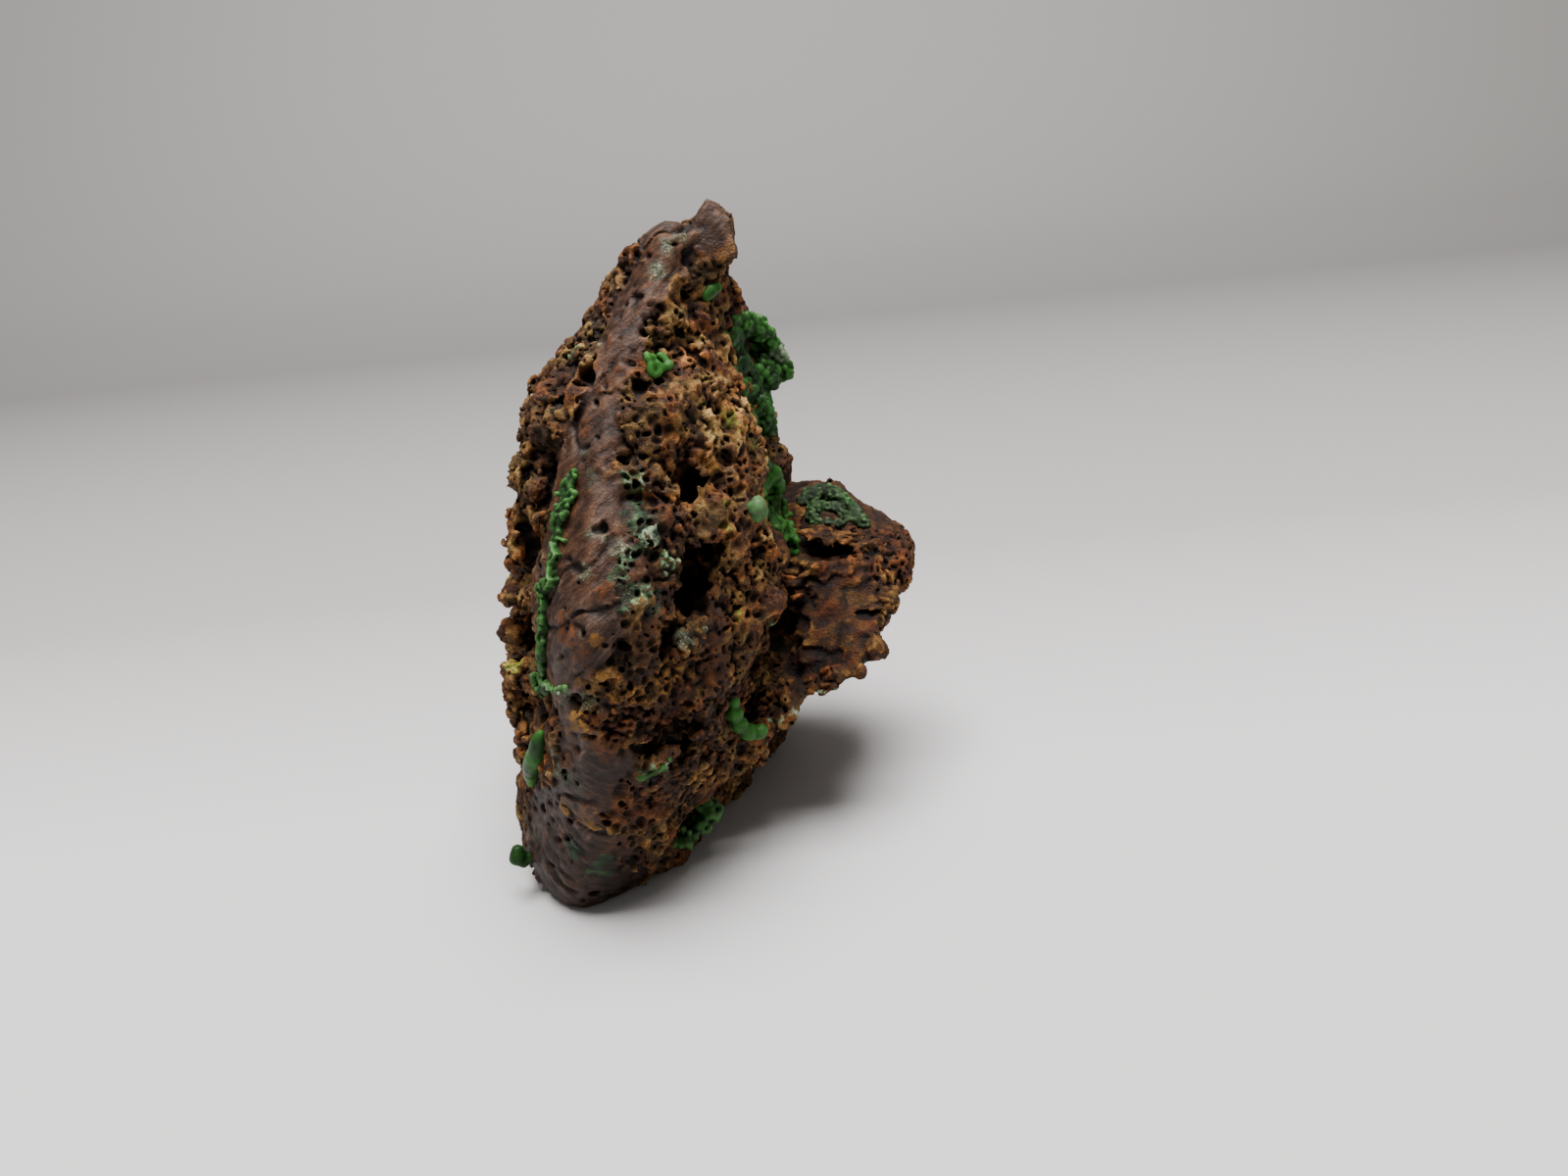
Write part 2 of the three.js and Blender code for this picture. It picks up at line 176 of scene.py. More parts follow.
def knob_share(points):
    """1 on the knobs left of the band, behind the gap."""
    x, y, z = points.T
    middle, half = (np.interp(z, band_line[:, 0], band_line[:, c]) for c in (1, 2))
    edge = np.interp(z, [10, 20, 28, 38, 44], [-15.6, -14.4, -13.2, -9.6, -7.6])
    return (1 - ease(x - edge, -0.6, 0.6)) * ease(z, 11, 14) * (1 - ease(z, 43, 46)) * (1 - ease(y, 2, 8))


def lobe_share(points):
    """1 on the lobe at the right."""
    x, y, z = points.T
    return ease(x + 0.15 * (y + 8), 6.6, 8.6) * (1 - ease(z, 30, 32))


def swirled(points):
    """A drift of up to 1 in every direction, from three lots of noise. A share of it curls a pattern."""
    return np.stack([lumps(points, 1.1, seed) for seed in (11, 12, 13)], axis=1)


def relief(points):
    """How far the rock stands out at each point, in mm. Each of its four kinds of surface adds smooth noise and
    cells, which fall off with the square of the distance from their middle. The kinds are blended by their shares."""
    x, y, z = points.T
    swirl = swirled(points)

    # Broad lumps lie under everything, and broader ones still at the back.
    back = ease(y, -2, 4) * (1 - ease(x, -2, 3))
    broad = 0.6 * lumps(points, 6, 14) + 0.5 * lumps(points, 2.8, 15) + 0.8 * back * lumps(points, 8, 37)

    # Sponge: nodules, on them grains that turn to walled holes in places, and crumbs over all.
    near, _, tall = cells(points + 0.45 * swirl, 2.6, 16)
    nodules = 0.75 - 1.4 * near ** 2 + 0.5 * (tall - 0.5)
    near, second, tall = cells(points + 0.45 * swirl, 0.85, 17)
    gaps = 1 - ease(second - near, 0.0, 0.3)
    grains = 0.5 - 0.9 * near ** 2 + 0.7 * (tall - 0.5) - 0.9 * gaps
    holes = 0.35 - (0.9 + 1.3 * tall) * ease(second - near, 0.12, 0.5)
    walled = ease(lumps(points, 4.0, 18) + 0.4 * lumps(points, 1.5, 19), -0.05, 0.35)
    near, _, tall = cells(points + 0.15 * swirl, 0.45, 20)
    crumbs = 0.18 - 0.4 * near ** 2 + 0.14 * (tall - 0.5)
    sponge = broad + 0.85 * nodules + blend(grains, holes, walled) + crumbs - 0.35

    # Dense band: noise drawn out along a slant that swings over at the foot, with cracks and pocks.
    slant = np.radians(37 - 72 * (1 - ease(z, 9, 15)))
    right, up = x + 10, z - 12
    drawn = 0.25 * swirl + np.stack([right * np.cos(slant) + up * np.sin(slant), y,
                                     up * np.cos(slant) - right * np.sin(slant)], axis=1)
    streaks = 0.14 * lumps(drawn * (0.3, 0.5, 1), 2.0, 22) - 0.13 * np.abs(lumps(drawn * (0.2, 0.6, 1), 0.7, 21))
    rough = 0.05 * lumps(points, 0.55, 26) + 0.08 * lumps(drawn * (0.35, 1, 1), 0.4, 27)
    along_crack = np.abs(lumps(drawn * (0.28, 0.5, 1), 1.5, 28))
    cracks = -0.3 * (1 - ease(along_crack, 0.02, 0.14)) * ease(broad, -0.1, 0.3)
    pocks = -0.6 * ease(lumps(points, 0.7, 23), 0.6, 0.8)
    dense = 0.12 * broad + streaks + rough + cracks + pocks

    # Knobs: round cells of 3 mm with the sponge's grains on them.
    near, _, tall = cells(points + 0.35 * swirl, 3.0, 24)
    knobs = 0.75 - 2.8 * near ** 2 + 0.6 * (tall - 0.5) + 0.7 * grains + crumbs + 0.2 * broad

    # Layers: noise cut into steps, each with a short slope, rough in some places and grainy in others.
    folds = points * (0.4, 0.4, 1) + 0.5 * swirl
    level = 2.6 * lumps(folds, 2.6, 25) + 0.4 * lumps(folds, 1.0, 29)
    steps = 0.45 * (np.floor(level) + ease(level - np.floor(level), 0.72, 1.0))
    coarse = ease(lumps(points, 3.4, 30) + 0.03 * (x - 12) - 0.05 * (z - 19), 0.1, 0.5)
    layered = broad + 0.8 * steps + blend(rough, 0.5 * nodules + 0.7 * grains + crumbs, coarse)

    height = blend(sponge, layered, lobe_share(points))
    height = blend(height, knobs, knob_share(points))
    return blend(height, dense, band_share(points))


# Forms of the rock that are there once only: swellings under the sponge, ledges and lumps that stick out of it, and
# hollows that the light doesn't reach. Each is an ellipsoid, given by its place and its three radii.

swellings = [
    ((17.2, 2.4, 20.6), (1.5, 1.8, 1.6)), ((14.8, -5.4, 17.2), (1.3, 1.4, 1.6)),
    ((13.4, -7.4, 15.9), (1.1, 1.3, 1.4)), ((7.4, 6.5, 30.2), (1.8, 2.8, 2.6)), ((-15.9, -9, 18.6), (1.2, 2, 1.3)),
    ((-14.3, -9.4, 25.6), (1.2, 2, 1.4)), ((-12.9, -8.8, 29.4), (1.1, 2, 1.5)), ((6, -9.7, 24.7), (0.9, 0.9, 0.8))]
ledges = [
    ((11, 4.6, 25.1), (1.6, 2, 0.35)), ((12.8, 3.8, 24.7), (1.8, 2, 0.32)), ((14.8, 3, 23.9), (1.8, 1.6, 0.28)),
    ((8.4, 2, 22.5), (2.3, 1.9, 0.3)), ((8.2, 1.4, 21.6), (2.5, 1.7, 0.28)), ((8.8, 0.8, 20.8), (2.4, 1.6, 0.3)),
    ((9.8, 2.4, 23.3), (1.6, 1.7, 0.3)), ((5.2, -10.6, 26.3), (0.6, 0.8, 0.5)), ((6.4, 1.6, 48.2), (0.8, 0.7, 0.35)),
    ((1.2, -13.6, 32.6), (1, 0.8, 0.3)), ((-1.6, -15.4, 29.4), (0.9, 0.9, 0.25))]
hollows = [
    ((-0.4, -12.6, 28), (2.5, 3.6, 2.3)), ((0.9, -12, 30.8), (1.9, 2.8, 1.8)), ((-1.9, -17.3, 26.6), (0.9, 1.8, 1)),
    ((0.8, -10.2, 35.3), (1, 2, 1.7)), ((-3, -17.6, 17.5), (2.7, 2.5, 1.15)), ((6.2, -1.6, 17.6), (2.4, 3.2, 2)),
    ((4.3, -8.2, 18), (1.2, 2.4, 1.6)), ((1.1, -5.4, 49.3), (0.6, 1.2, 0.7)), ((11.9, 3.4, 23.7), (2.2, 3, 0.75)),
    ((14, 3.2, 23), (1.3, 2.2, 0.45)), ((14.6, -3.1, 19.3), (1.7, 1.5, 0.4)), ((-12.9, -11.8, 32.4), (1.1, 2.8, 4)),
    ((-13.7, -11.8, 25.6), (0.8, 2.2, 2.6)), ((-15.9, -8, 37.9), (2, 5, 2.1)), ((-6.4, -7.6, 44.4), (0.9, 1.4, 0.8)),
    ((-2.4, -9.6, 43.6), (0.6, 1.2, 0.6)), ((-15, -13.9, 9.3), (0.5, 0.9, 0.35)),
    ((-12, -17.4, 10.3), (0.6, 0.9, 0.4)), ((-11.4, -16.6, 2.2), (0.5, 0.6, 0.35)),
    ((-9, -16.9, 4.5), (0.3, 0.6, 0.5)), ((-4.2, -12.8, 38.6), (0.4, 0.7, 0.45)), ((7.4, 0, 42.4), (2.5, 5, 4.2)),
    ((7.8, -1.6, 38.2), (1.5, 4.4, 1.9))]
# The summit is a wedge: each of its faces by a point on it and the way it faces.
wedge = [
    ((4.2, 1.4, 56.1), (-0.8, 0, 0.6)), ((4.2, 1.4, 56.1), (0.68, 0, 0.73)), ((4.2, -0.6, 55.2), (0, -0.93, 0.37)),
    ((4.2, 2.8, 55.4), (0, 0.9, 0.44)), ((6, 1.4, 54), (1, 0, 0.1)), ((4.2, 1.4, 51.5), (0, 0, -1))]
summit, summit_reach = (4.2, 1.4, 54.0), (3.2, 3.2, 3.2)


def block_near(place, radii):
    """The grid's block round an ellipsoid, the places of its values, and how deep each lies in the ellipsoid."""
    reach = max(radii) + 1.0
    low = np.maximum(((np.array(place) - reach - rock_start) / rock_step).astype(int), 0)
    high = np.minimum(((np.array(place) + reach - rock_start) / rock_step).astype(int) + 1, rock_values.shape)
    index = np.indices(high - low).reshape(3, -1) + low[:, None]
    points = places_of(index, rock_start, rock_step)
    return tuple(index), points, (1 - np.sqrt((((points - place) / radii) ** 2).sum(axis=1))) * min(radii)


for place, radii in swellings:
    block, _, within = block_near(place, radii)
    rock_values[block] = np.minimum(rock_values[block], -within)
near_skin = np.nonzero((rock_values > -2.3) & (rock_values < 1.5))
rock_values[near_skin] -= relief(places_of(near_skin, rock_start, rock_step))

# What stands more than a little proud of its surroundings has worn off.
proudest = 0.22
rock_values = np.maximum(rock_values, blurred(rock_values, 5) - proudest)

for place, radii in ledges:
    block, points, within = block_near(place, radii)
    within += 0.14 * lumps(points, 0.9, 33) + 0.18 * lumps(points, 0.45, 34)
    rock_values[block] = np.minimum(rock_values[block], -within)
block, points, _ = block_near(summit, summit_reach)
outside = np.max([(points - np.array(place, np.float32)) @ np.array(facing, np.float32)
                  for place, facing in wedge], axis=0)
outside += 0.12 * lumps(points, 1.0, 35) + 0.1 * lumps(points, 0.45, 36)
rock_values[block] = np.minimum(rock_values[block], outside)
for place, radii in hollows:
    block, points, within = block_near(place, radii)
    within += min(radii) * (0.4 * lumps(points, 1.5, 31) + 0.3 * lumps(points, 0.75, 32)) - 0.05
    rock_values[block] = np.maximum(rock_values[block], within)

# The sole is flat, and the grid's outermost values are outside the rock, so that its skin closes.
rock_values = np.maximum(rock_values, -(rock_start[2] + rock_step * np.arange(rock_values.shape[2])))
outermost = np.ones_like(rock_values, bool)
outermost[1:-1, 1:-1, 1:-1] = False
rock_values[outermost] = np.maximum(rock_values[outermost], rock_step)

# The skin is parted into four closed pieces where one face of the rock turns into the next, because one piece
# can't hold all its triangles. Each reaches a little under its neighbour, and back and lobe are sunk by a hair, so
# that no two skins lie at one place.

rock_triangles = 195000
under = 0.35
sunk = 0.03
grid = np.indices(rock_values.shape, dtype=np.float32)
x, y, z = (grid[axis] * rock_step + rock_start[axis] for axis in range(3))
to_lobe = x + 0.15 * (y + 8) - 7.4
to_back = y - 3.0
to_top = z - 27
in_front = np.maximum(to_back, to_lobe)
parts = {
    "rock_upper": np.maximum(rock_values, np.maximum(in_front, -to_top) - under),
    "rock_lower": np.maximum(rock_values, np.maximum(in_front, to_top) - under),
    "rock_back": np.maximum(rock_values + sunk, np.maximum(-to_back, to_lobe) - under),
    "rock_lobe": np.maximum(rock_values + sunk, -to_lobe - under),
}
rock_filled = blurred(np.clip(0.5 - rock_values / rock_step, 0, 1), 14)


def skin(values, start, step):
    """The closed surface where the values cross zero: its points in mm and its four-cornered faces. Crumbs that
    touch nothing are dropped."""
    inside = values < 0
    ends = [np.nonzero(inside.any(axis=others))[0][[0, -1]] for others in ((1, 2), (0, 2), (0, 1))]
    low = np.array([max(first - 2, 0) for first, last in ends])
    values = np.ascontiguousarray(values[tuple(slice(first, last + 3) for first, (_, last) in zip(low, ends))])
    start = start + low * step
    grid = openvdb.FloatGrid()
    grid.background = float(values.max())
    grid.copyFromArray(values, ijk=tuple(int(round(s / step)) for s in start))
    grid.transform = openvdb.createLinearTransform(voxelSize=step)
    points, faces = grid.convertToQuads(0.0)
    faces = faces[:, ::-1].astype(np.int64)
    body = np.arange(len(points))
    ends = np.concatenate([faces[:, [0, 1]], faces[:, [1, 2]], faces[:, [2, 3]]])
    while True:
        least = body.copy()
        lower = np.minimum(body[ends[:, 0]], body[ends[:, 1]])
        np.minimum.at(least, ends[:, 0], lower)
        np.minimum.at(least, ends[:, 1], lower)
        least = least[least]
        if np.array_equal(least, body):
            break
        body = least
    kept = body == np.bincount(body).argmax()
    number = np.cumsum(kept) - 1
    return points[kept], number[faces[kept[faces[:, 0]]]]


def piece(name, points, faces):
    """An object with these points, in mm, and faces, smoothly shaded."""
    mesh = bpy.data.meshes.new(name)
    mesh.from_pydata((points * MM).tolist(), [], faces.tolist())
    mesh.polygons.foreach_set("use_smooth", np.ones(len(mesh.polygons), bool))
    made = bpy.data.objects.new(name, mesh)
    bpy.context.scene.collection.objects.link(made)
    return made


def thinned(made, triangles):
    """The object's mesh with its flattest edges closed up until so many triangles are left."""
    now = sum(len(p.vertices) - 2 for p in made.data.polygons)
    if now > triangles:
        fewer = made.modifiers.new("fewer", "DECIMATE")
        fewer.ratio = triangles / now
        whole = made.evaluated_get(bpy.context.evaluated_depsgraph_get())
        mesh = bpy.data.meshes.new_from_object(whole)
        made.modifiers.clear()
        made.data = mesh
    return made


def painted(made, name, shares):
    """Keeps one number per point on the mesh, for the material."""
    layer = made.data.attributes.new(name, "FLOAT", "POINT")
    layer.data.foreach_set("value", np.ascontiguousarray(shares, np.float32))


# Stains on the rock, by colour: where each lies, and its radius. Green, mint and lime are thin washes of copper
# minerals, ochre and rust are iron oxides, tan is a broad area with a tone of its own, dark makes broad areas darker,
# and foot is the slab's foot, where the band gets painted shade.

stains = {
    "green": [
        (-3.2, -14.6, 37, 1.6), (-3.6, -15.8, 35.6, 1.5), (-2.6, -16.8, 34, 1.6), (-4.4, -18.4, 32, 1.3),
        (-3.2, -18.5, 30.3, 1.7), (-5, -19.2, 29.6, 1), (-1.2, -16.6, 31.6, 1.1), (-10.2, -17.9, 5.6, 1.6),
        (-12.4, -17.4, 7.4, 1.2), (-4.2, -19.8, 15, 1.7), (-2.2, -19, 14.6, 1), (10, -8.7, 14.9, 1.5),
        (7.8, -8.9, 14, 1.6), (5.6, -9, 12.6, 1), (12.6, 9.8, 26.8, 2.2), (14.4, 9.4, 25.6, 1.4),
        (-7.8, -4.1, 46.2, 1), (-16.4, -14.2, 6.4, 1.2), (-15.9, -14.6, 8.6, 0.9), (5.6, -6.4, 21.2, 1)],
    "mint": [
        (0.9, -3.4, 53.2, 1.3), (-0.1, -4.3, 51.7, 1.2), (2.1, -2.4, 53.9, 1.2), (-4.4, -17.4, 33.4, 1.2),
        (-3.4, -16.4, 36.2, 1.1), (-4.8, -18.6, 30.8, 1.2), (-6.4, -16.6, 34.6, 0.9), (-2.6, -18.2, 28.8, 0.9),
        (-5.2, -6.2, 47, 0.6), (-7.4, -18.3, 32.6, 0.9), (-6.6, -14.2, 38.4, 0.9), (-2.2, -15.6, 35.4, 0.8),
        (-0.9, -17.1, 25.3, 1), (-10.2, -19.1, 22.8, 0.9), (-10.6, -18.8, 21.9, 0.8), (-8.6, -20.4, 22.6, 0.9),
        (-7.6, -20.6, 22.2, 0.8), (-11.6, -18.3, 15.4, 1), (-12.6, -17.4, 17.4, 0.9), (-10.2, -19.2, 14.2, 0.6),
        (-6.8, -12.2, 39.8, 0.5), (-10.8, -18.9, 25.2, 0.6), (1, -15.9, 25.6, 0.6), (-5.6, -17.2, 34.4, 0.6)],
    "lime": [
        (4.3, -6.6, 39.5, 1.3), (5.3, -5.3, 36.9, 1.3), (2.8, -11.7, 32.6, 0.9), (3.3, -11.3, 33.8, 0.6),
        (-15.6, -11.7, 22, 1.1), (13.6, -6.8, 16.9, 0.7), (3.4, -12.6, 25.2, 0.7), (3, -4.2, 46.2, 0.7),
        (4.1, -2.9, 49.3, 0.8), (2.6, -10.4, 30.8, 0.7)],
    "ochre": [
        (-9.2, -20.2, 24.6, 0.8), (-11, -18.9, 19, 1.3), (-9.6, -19.6, 12.2, 0.9), (-1.6, -15.6, 12, 1.6),
        (-2.4, -18.2, 23, 1.8), (-6.9, -20.8, 27.7, 0.6), (-6.8, -20.9, 24.9, 0.9), (-6.1, -20.7, 23.2, 1.2),
        (-4.4, -19.7, 22.2, 1.2), (-9.8, -19.8, 20.4, 1.5), (-12.8, -16.8, 11.8, 1.3), (-10.7, -18.6, 10.6, 1.3),
        (-4.2, -16.1, 9.5, 1.4), (-6.8, -16.8, 6.7, 1), (18.1, 0.7, 20.4, 1.9), (12.6, -4.6, 17.6, 1.3),
        (5.7, -9.7, 24.9, 1.2), (15.4, -3.6, 17, 1.7), (3.4, -7.4, 37.6, 1.6), (2.2, -10, 36.8, 1.2),
        (1.4, -4.6, 50.6, 1.2), (5.6, 0.8, 54, 1)],
    "rust": [
        (-5.9, -19.5, 31.2, 1.3), (-5.1, -18.5, 32.6, 0.9), (-3, -16.8, 33.4, 1), (-7.8, -13.4, 38.4, 1.2),
        (-9.5, -18.8, 28.3, 1.8), (-8.3, -20.3, 26.6, 1.6), (6, -9.9, 24.6, 1.6), (5, -10.5, 26.4, 1.3),
        (-0.7, -4.7, 51, 0.8), (-6.4, -20.4, 19.6, 3), (-2.6, -17.4, 20.6, 2.6), (-7, -18.2, 12.4, 2.6),
        (-6.8, -11, 41.6, 1.2), (5.6, -7.8, 30.6, 1.2), (-4.6, -8.4, 45.6, 1.2)],
    "tan": [
        (9.6, 9, 26.4, 2.4), (4.2, -4.4, 39, 7), (3, -3, 46.5, 4.5), (8.4, 1.6, 22, 3.2), (4.6, -6, 33, 4.2)],
    "dark": [
        (-3, -16, 33, 4.6), (-0.6, -14.5, 28.5, 4.2), (-3.4, -18.6, 26.4, 3), (-2, -17, 16.5, 4.6),
        (-5, -18.6, 20, 3), (-3.4, -18, 13, 3.4)],
    "foot": [
        (-10, -14.5, 4, 9), (-8, -19, 15, 4)],
}


def spotted(points, spots):
    """1 near any of the spots, each a place and a radius in mm, and 0 away from them, with a ragged edge."""
    share = np.zeros(len(points), np.float32)
    uneven = 0.45 * (lumps(points, 1.1, 41) + 0.7 * lumps(points, 0.5, 42))
    for *place, radius in spots:
        away = np.sqrt(((points - np.array(place, np.float32)) ** 2).sum(axis=1)) / radius
        share = np.maximum(share, 1 - ease(away + uneven, 0.6, 1.05))
    return share


class Paint:
    """Adds nodes to a material or a group. Their inputs are given numbers, colours or other nodes' outputs."""

    def __init__(self, tree):
        self.tree = tree

    def put(self, given, socket):
        """Links an output to the socket, or sets it to a number or a colour."""
        if isinstance(given, bpy.types.NodeSocket):
            self.tree.links.new(given, socket)
        else:
            socket.default_value = (*given, 1) if socket.type == "RGBA" else given

    def node(self, kind, given, output=0, **settings):
        """A node with these settings, and with its inputs given by name or number. Returns one of its outputs."""
        made = self.tree.nodes.new("ShaderNode" + kind)
        for name, value in settings.items():
            setattr(made, name, value)
        for name, value in given.items():
            self.put(value, made.inputs[name])
        return made.outputs[output]

    def attribute(self, name):
        """One of the numbers painted on the piece."""
        return self.node("Attribute", {}, "Fac", attribute_name=name)

    def times(self, a, b, plus=0.0):
        """a times b, and plus added."""
        return self.node("Math", {0: a, 1: b, 2: plus}, operation="MULTIPLY_ADD")

    def between(self, source, low, high):
        """0 where the source is at low, 1 where it is at high, straight between them and level beyond."""
        return self.node("MapRange", {"Value": source, "From Min": low, "From Max": high})

    def mixed(self, a, b, share, kind="MIX"):
        """Colour a where share is 0, and b, blended that way, where it is 1. Its sockets share names, so they go by
        number."""
        return self.node("Mix", {0: share, 6: a, 7: b}, 2, data_type="RGBA", blend_type=kind)

    def tinted(self, colour, tint, share=1.0):
        """The colour times the tint, by its share."""
        return self.mixed(colour, tint, share, "MULTIPLY")

    def ramp(self, source, *stops):
        """Colours set along a number from 0 to 1, on straight lines between the stops."""
        colours = self.node("ValToRGB", {"Fac": source}, "Color")
        elements = colours.node.color_ramp.elements
        elements.remove(elements[0])
        for number, (position, colour) in enumerate(stops):
            stop = elements.new(position) if number else elements[0]
            stop.position, stop.color = position, (*colour, 1)
        return colours

    def grain(self, scale, detail=3.0, roughness=0.6, slant=None):
        """Noise from 0 to 1, with so many bumps per metre, drawn out along a slant of so many degrees if one is
        given."""
        given = {"Scale": scale, "Detail": detail, "Roughness": roughness, "Stretch": (1, 1, 1)}
        if slant is not None:
            given.update({"Turn": (0, math.radians(-slant), 0), "Stretch": (3.5, 1.5, 1)})
        return self.node("Group", given, node_tree=grain_group)

    def mottled(self, colour, scale, detail, low, dark, high, light):
        """The colour times the dark tint where grain is low, and times the light one where it is high."""
        return self.node("Group", {"Colour": colour, "Scale": scale, "Detail": detail, "Low": low, "Dark": dark,
                                   "High": high, "Light": light}, node_tree=mottle_group)

    def painted_light_and_shade(self, colour, *stops):
        """The colour with painted light on its ridges and painted shade in its pits. Each stop is a depth, as a share
        of mineral, and its tint.
        """
        given = {"Colour": colour, "Buried": self.attribute("buried")}
        for depth, (share, tint) in zip(depths, stops):
            given.update({depth: tint, depth + " At": share})
        return self.node("Group", given, node_tree=light_and_shade_group)


def shader_group(name, output, kind, inputs):
    """An empty group with one output of a kind, and with inputs listed by their kinds. Returns it, the paint for
    its nodes, its inputs by name, and the socket that its output comes from."""
    group = bpy.data.node_groups.new(name, "ShaderNodeTree")
    group.interface.new_socket(output, in_out="OUTPUT", socket_type="NodeSocket" + kind)
    for kind, labels in inputs.items():
        for label in labels:
            group.interface.new_socket(label, in_out="INPUT", socket_type="NodeSocket" + kind)
    given = group.nodes.new("NodeGroupInput").outputs
    return group, Paint(group), given, group.nodes.new("NodeGroupOutput").inputs[output]


def new_material(name):
    """A new material, its shader, and the paint for its nodes."""
    made = bpy.data.materials.new(name)
    made.use_nodes = True
    return made, made.node_tree.nodes["Principled BSDF"], Paint(made.node_tree)


# Three effects that both minerals' materials use, the last of them painted light and shade. Grain is noise at the
# piece's own places, turned and stretched.
grain_group, inner, given, result = shader_group(
    "grain", "Grain", "Float", {"Float": ("Scale", "Detail", "Roughness"), "Vector": ("Turn", "Stretch")})
place = inner.node("TexCoord", {}, "Object")
place = inner.node("Mapping", {"Vector": place, "Rotation": given["Turn"], "Scale": given["Stretch"]},
                   vector_type="TEXTURE")
noise = {name: given[name] for name in ("Scale", "Detail", "Roughness")}
inner.put(inner.node("TexNoise", {"Vector": place, **noise}, "Fac"), result)

# Mottle makes a colour darker or lighter with the grain.
mottle_group, inner, given, result = shader_group(
    "mottle", "Colour", "Color", {"Color": ("Colour", "Dark", "Light"), "Float": ("Scale", "Detail", "Low", "High")})
share = inner.between(inner.grain(given["Scale"], given["Detail"]), given["Low"], given["High"])
inner.put(inner.tinted(given["Colour"], inner.mixed(given["Dark"], given["Light"], share)), result)

# Painted light makes the ridges pale and painted shade darkens the hollows. How buried a place is, is the share of
# mineral in a ball round it.
depths = ("Ridge", "Crest", "Level", "Hollow", "Pit")
light_and_shade_group, inner, given, result = shader_group(
    "hollows", "Colour", "Color",
    {"Color": ("Colour", *depths), "Float": ("Buried", *(depth + " At" for depth in depths))})
tint = given["Ridge"]
for above, below in zip(depths, depths[1:]):
    share = inner.between(given["Buried"], given[above + " At"], given[below + " At"])
    tint = inner.mixed(tint, given[below], share)
inner.put(inner.tinted(given["Colour"], tint), result)

limonite, shader, paint = new_material("limonite")
band, foot, buried = (paint.attribute(name) for name in ("band", "foot", "buried"))
band_slant, foot_slant = 37, -35

# Sponge: rusty in some places and earthy in others, by fine grain and by each cell's own number, with pale thin
# walls where fine noise is near its middle.
fine = paint.grain(1500)
tone = paint.times(paint.attribute("grain"), 0.45, paint.times(fine, 0.75, -0.2))
rusty = paint.ramp(tone, (0.0, (0.008, 0.003, 0.002)), (0.3, (0.028, 0.009, 0.003)), (0.5, (0.068, 0.021, 0.004)),
                   (0.7, (0.115, 0.04, 0.008)), (0.9, (0.2, 0.085, 0.018)))
earthy = paint.ramp(tone, (0.0, (0.01, 0.006, 0.002)), (0.3, (0.034, 0.017, 0.004)), (0.5, (0.085, 0.046, 0.011)),
                    (0.7, (0.15, 0.09, 0.027)), (0.9, (0.27, 0.18, 0.07)))
sponge_colour = paint.mixed(rusty, earthy, paint.between(paint.grain(420), 0.42, 0.6))
walls = paint.times(paint.between(fine, 0.4375, 0.5), paint.between(fine, 0.5625, 0.5))
sponge_colour = paint.tinted(sponge_colour, paint.mixed((0.8, 0.78, 0.75), (1.7, 1.75, 1.9), walls))
sponge_colour = paint.tinted(sponge_colour, (1.9, 2.1, 2.4), paint.attribute("tan"))
sponge_colour = paint.tinted(sponge_colour, (0.5, 0.45, 0.46), paint.attribute("dark"))

# Band: grey-brown and warm brown in turns, streaked along its slant, with painted shade at the foot.
drawn = paint.mixed(*(paint.grain(2600, 5.0, 0.65, slant) for slant in (band_slant, foot_slant)), foot)
band_tone = paint.times(drawn, 1.25, paint.times(paint.grain(260, 4.0), 0.6, -0.51))
grey = paint.ramp(band_tone, (0.2, (0.012, 0.006, 0.004)), (0.42, (0.044, 0.023, 0.015)),
                  (0.58, (0.08, 0.05, 0.036)), (0.8, (0.15, 0.115, 0.09)))
warm = paint.ramp(band_tone, (0.2, (0.016, 0.006, 0.003)), (0.42, (0.058, 0.023, 0.01)),
                  (0.6, (0.1, 0.046, 0.02)), (0.85, (0.16, 0.095, 0.05)))
band_colour = paint.mixed(grey, warm, paint.between(paint.grain(330, 2.0, 0.5, band_slant), 0.4, 0.6))
# Painted shade: the band is darker at the slab's foot.
band_colour = paint.tinted(band_colour, (0.45, 0.42, 0.42), foot)

colour = paint.mixed(sponge_colour, band_colour, band)
colour = paint.tinted(colour, (0.8, 0.64, 0.5), paint.attribute("lobe"))

# Stains: each has its tint, how bare it leaves the rock, the noise that breaks it up, how sharp its edge is, and
# what it keeps to. Green is paler on ridges, and ochre keeps to them.
flecks = paint.mixed(paint.grain(3600), drawn, band)
dots = paint.grain(5200, 3.0, 0.7)
on_ridges = paint.between(buried, 0.54, 0.44)
green = paint.ramp(buried, (0.28, (0.12, 0.16, 0.09)), (0.38, (0.04, 0.085, 0.03)), (0.48, (0.015, 0.045, 0.015)),
                   (0.56, (0.008, 0.026, 0.01)))
lively = paint.ramp(tone, (0.2, (0.35, 0.35, 0.35)), (0.8, (1.7, 1.7, 1.7)))
colour = paint.mixed(colour, (0.05, 0.07, 0.042), paint.times(paint.attribute("mint"), 0.3))
for stain, tint, bare, noise, sharp, kept_to in (
        ("rust", (0.085, 0.027, 0.007), 0.75, flecks, 1.6, 1.0),
        ("ochre", (0.15, 0.07, 0.012), 0.8, flecks, 2.5, on_ridges),
        ("green", green, 0.8, flecks, 2.0, 1.0),
        ("mint", (0.125, 0.155, 0.095), 1.25, dots, 3.0, 1.0),
        ("lime", (0.12, 0.125, 0.016), 0.8, flecks, 3.0, 1.0)):
    there = paint.attribute(stain)
    edge = paint.times(there, 1.2, paint.times(noise, 4.5, -2.25 - bare))
    share = paint.times(paint.times(edge, sharp), paint.times(there, kept_to))
    colour = paint.mixed(colour, paint.tinted(tint, lively), share)
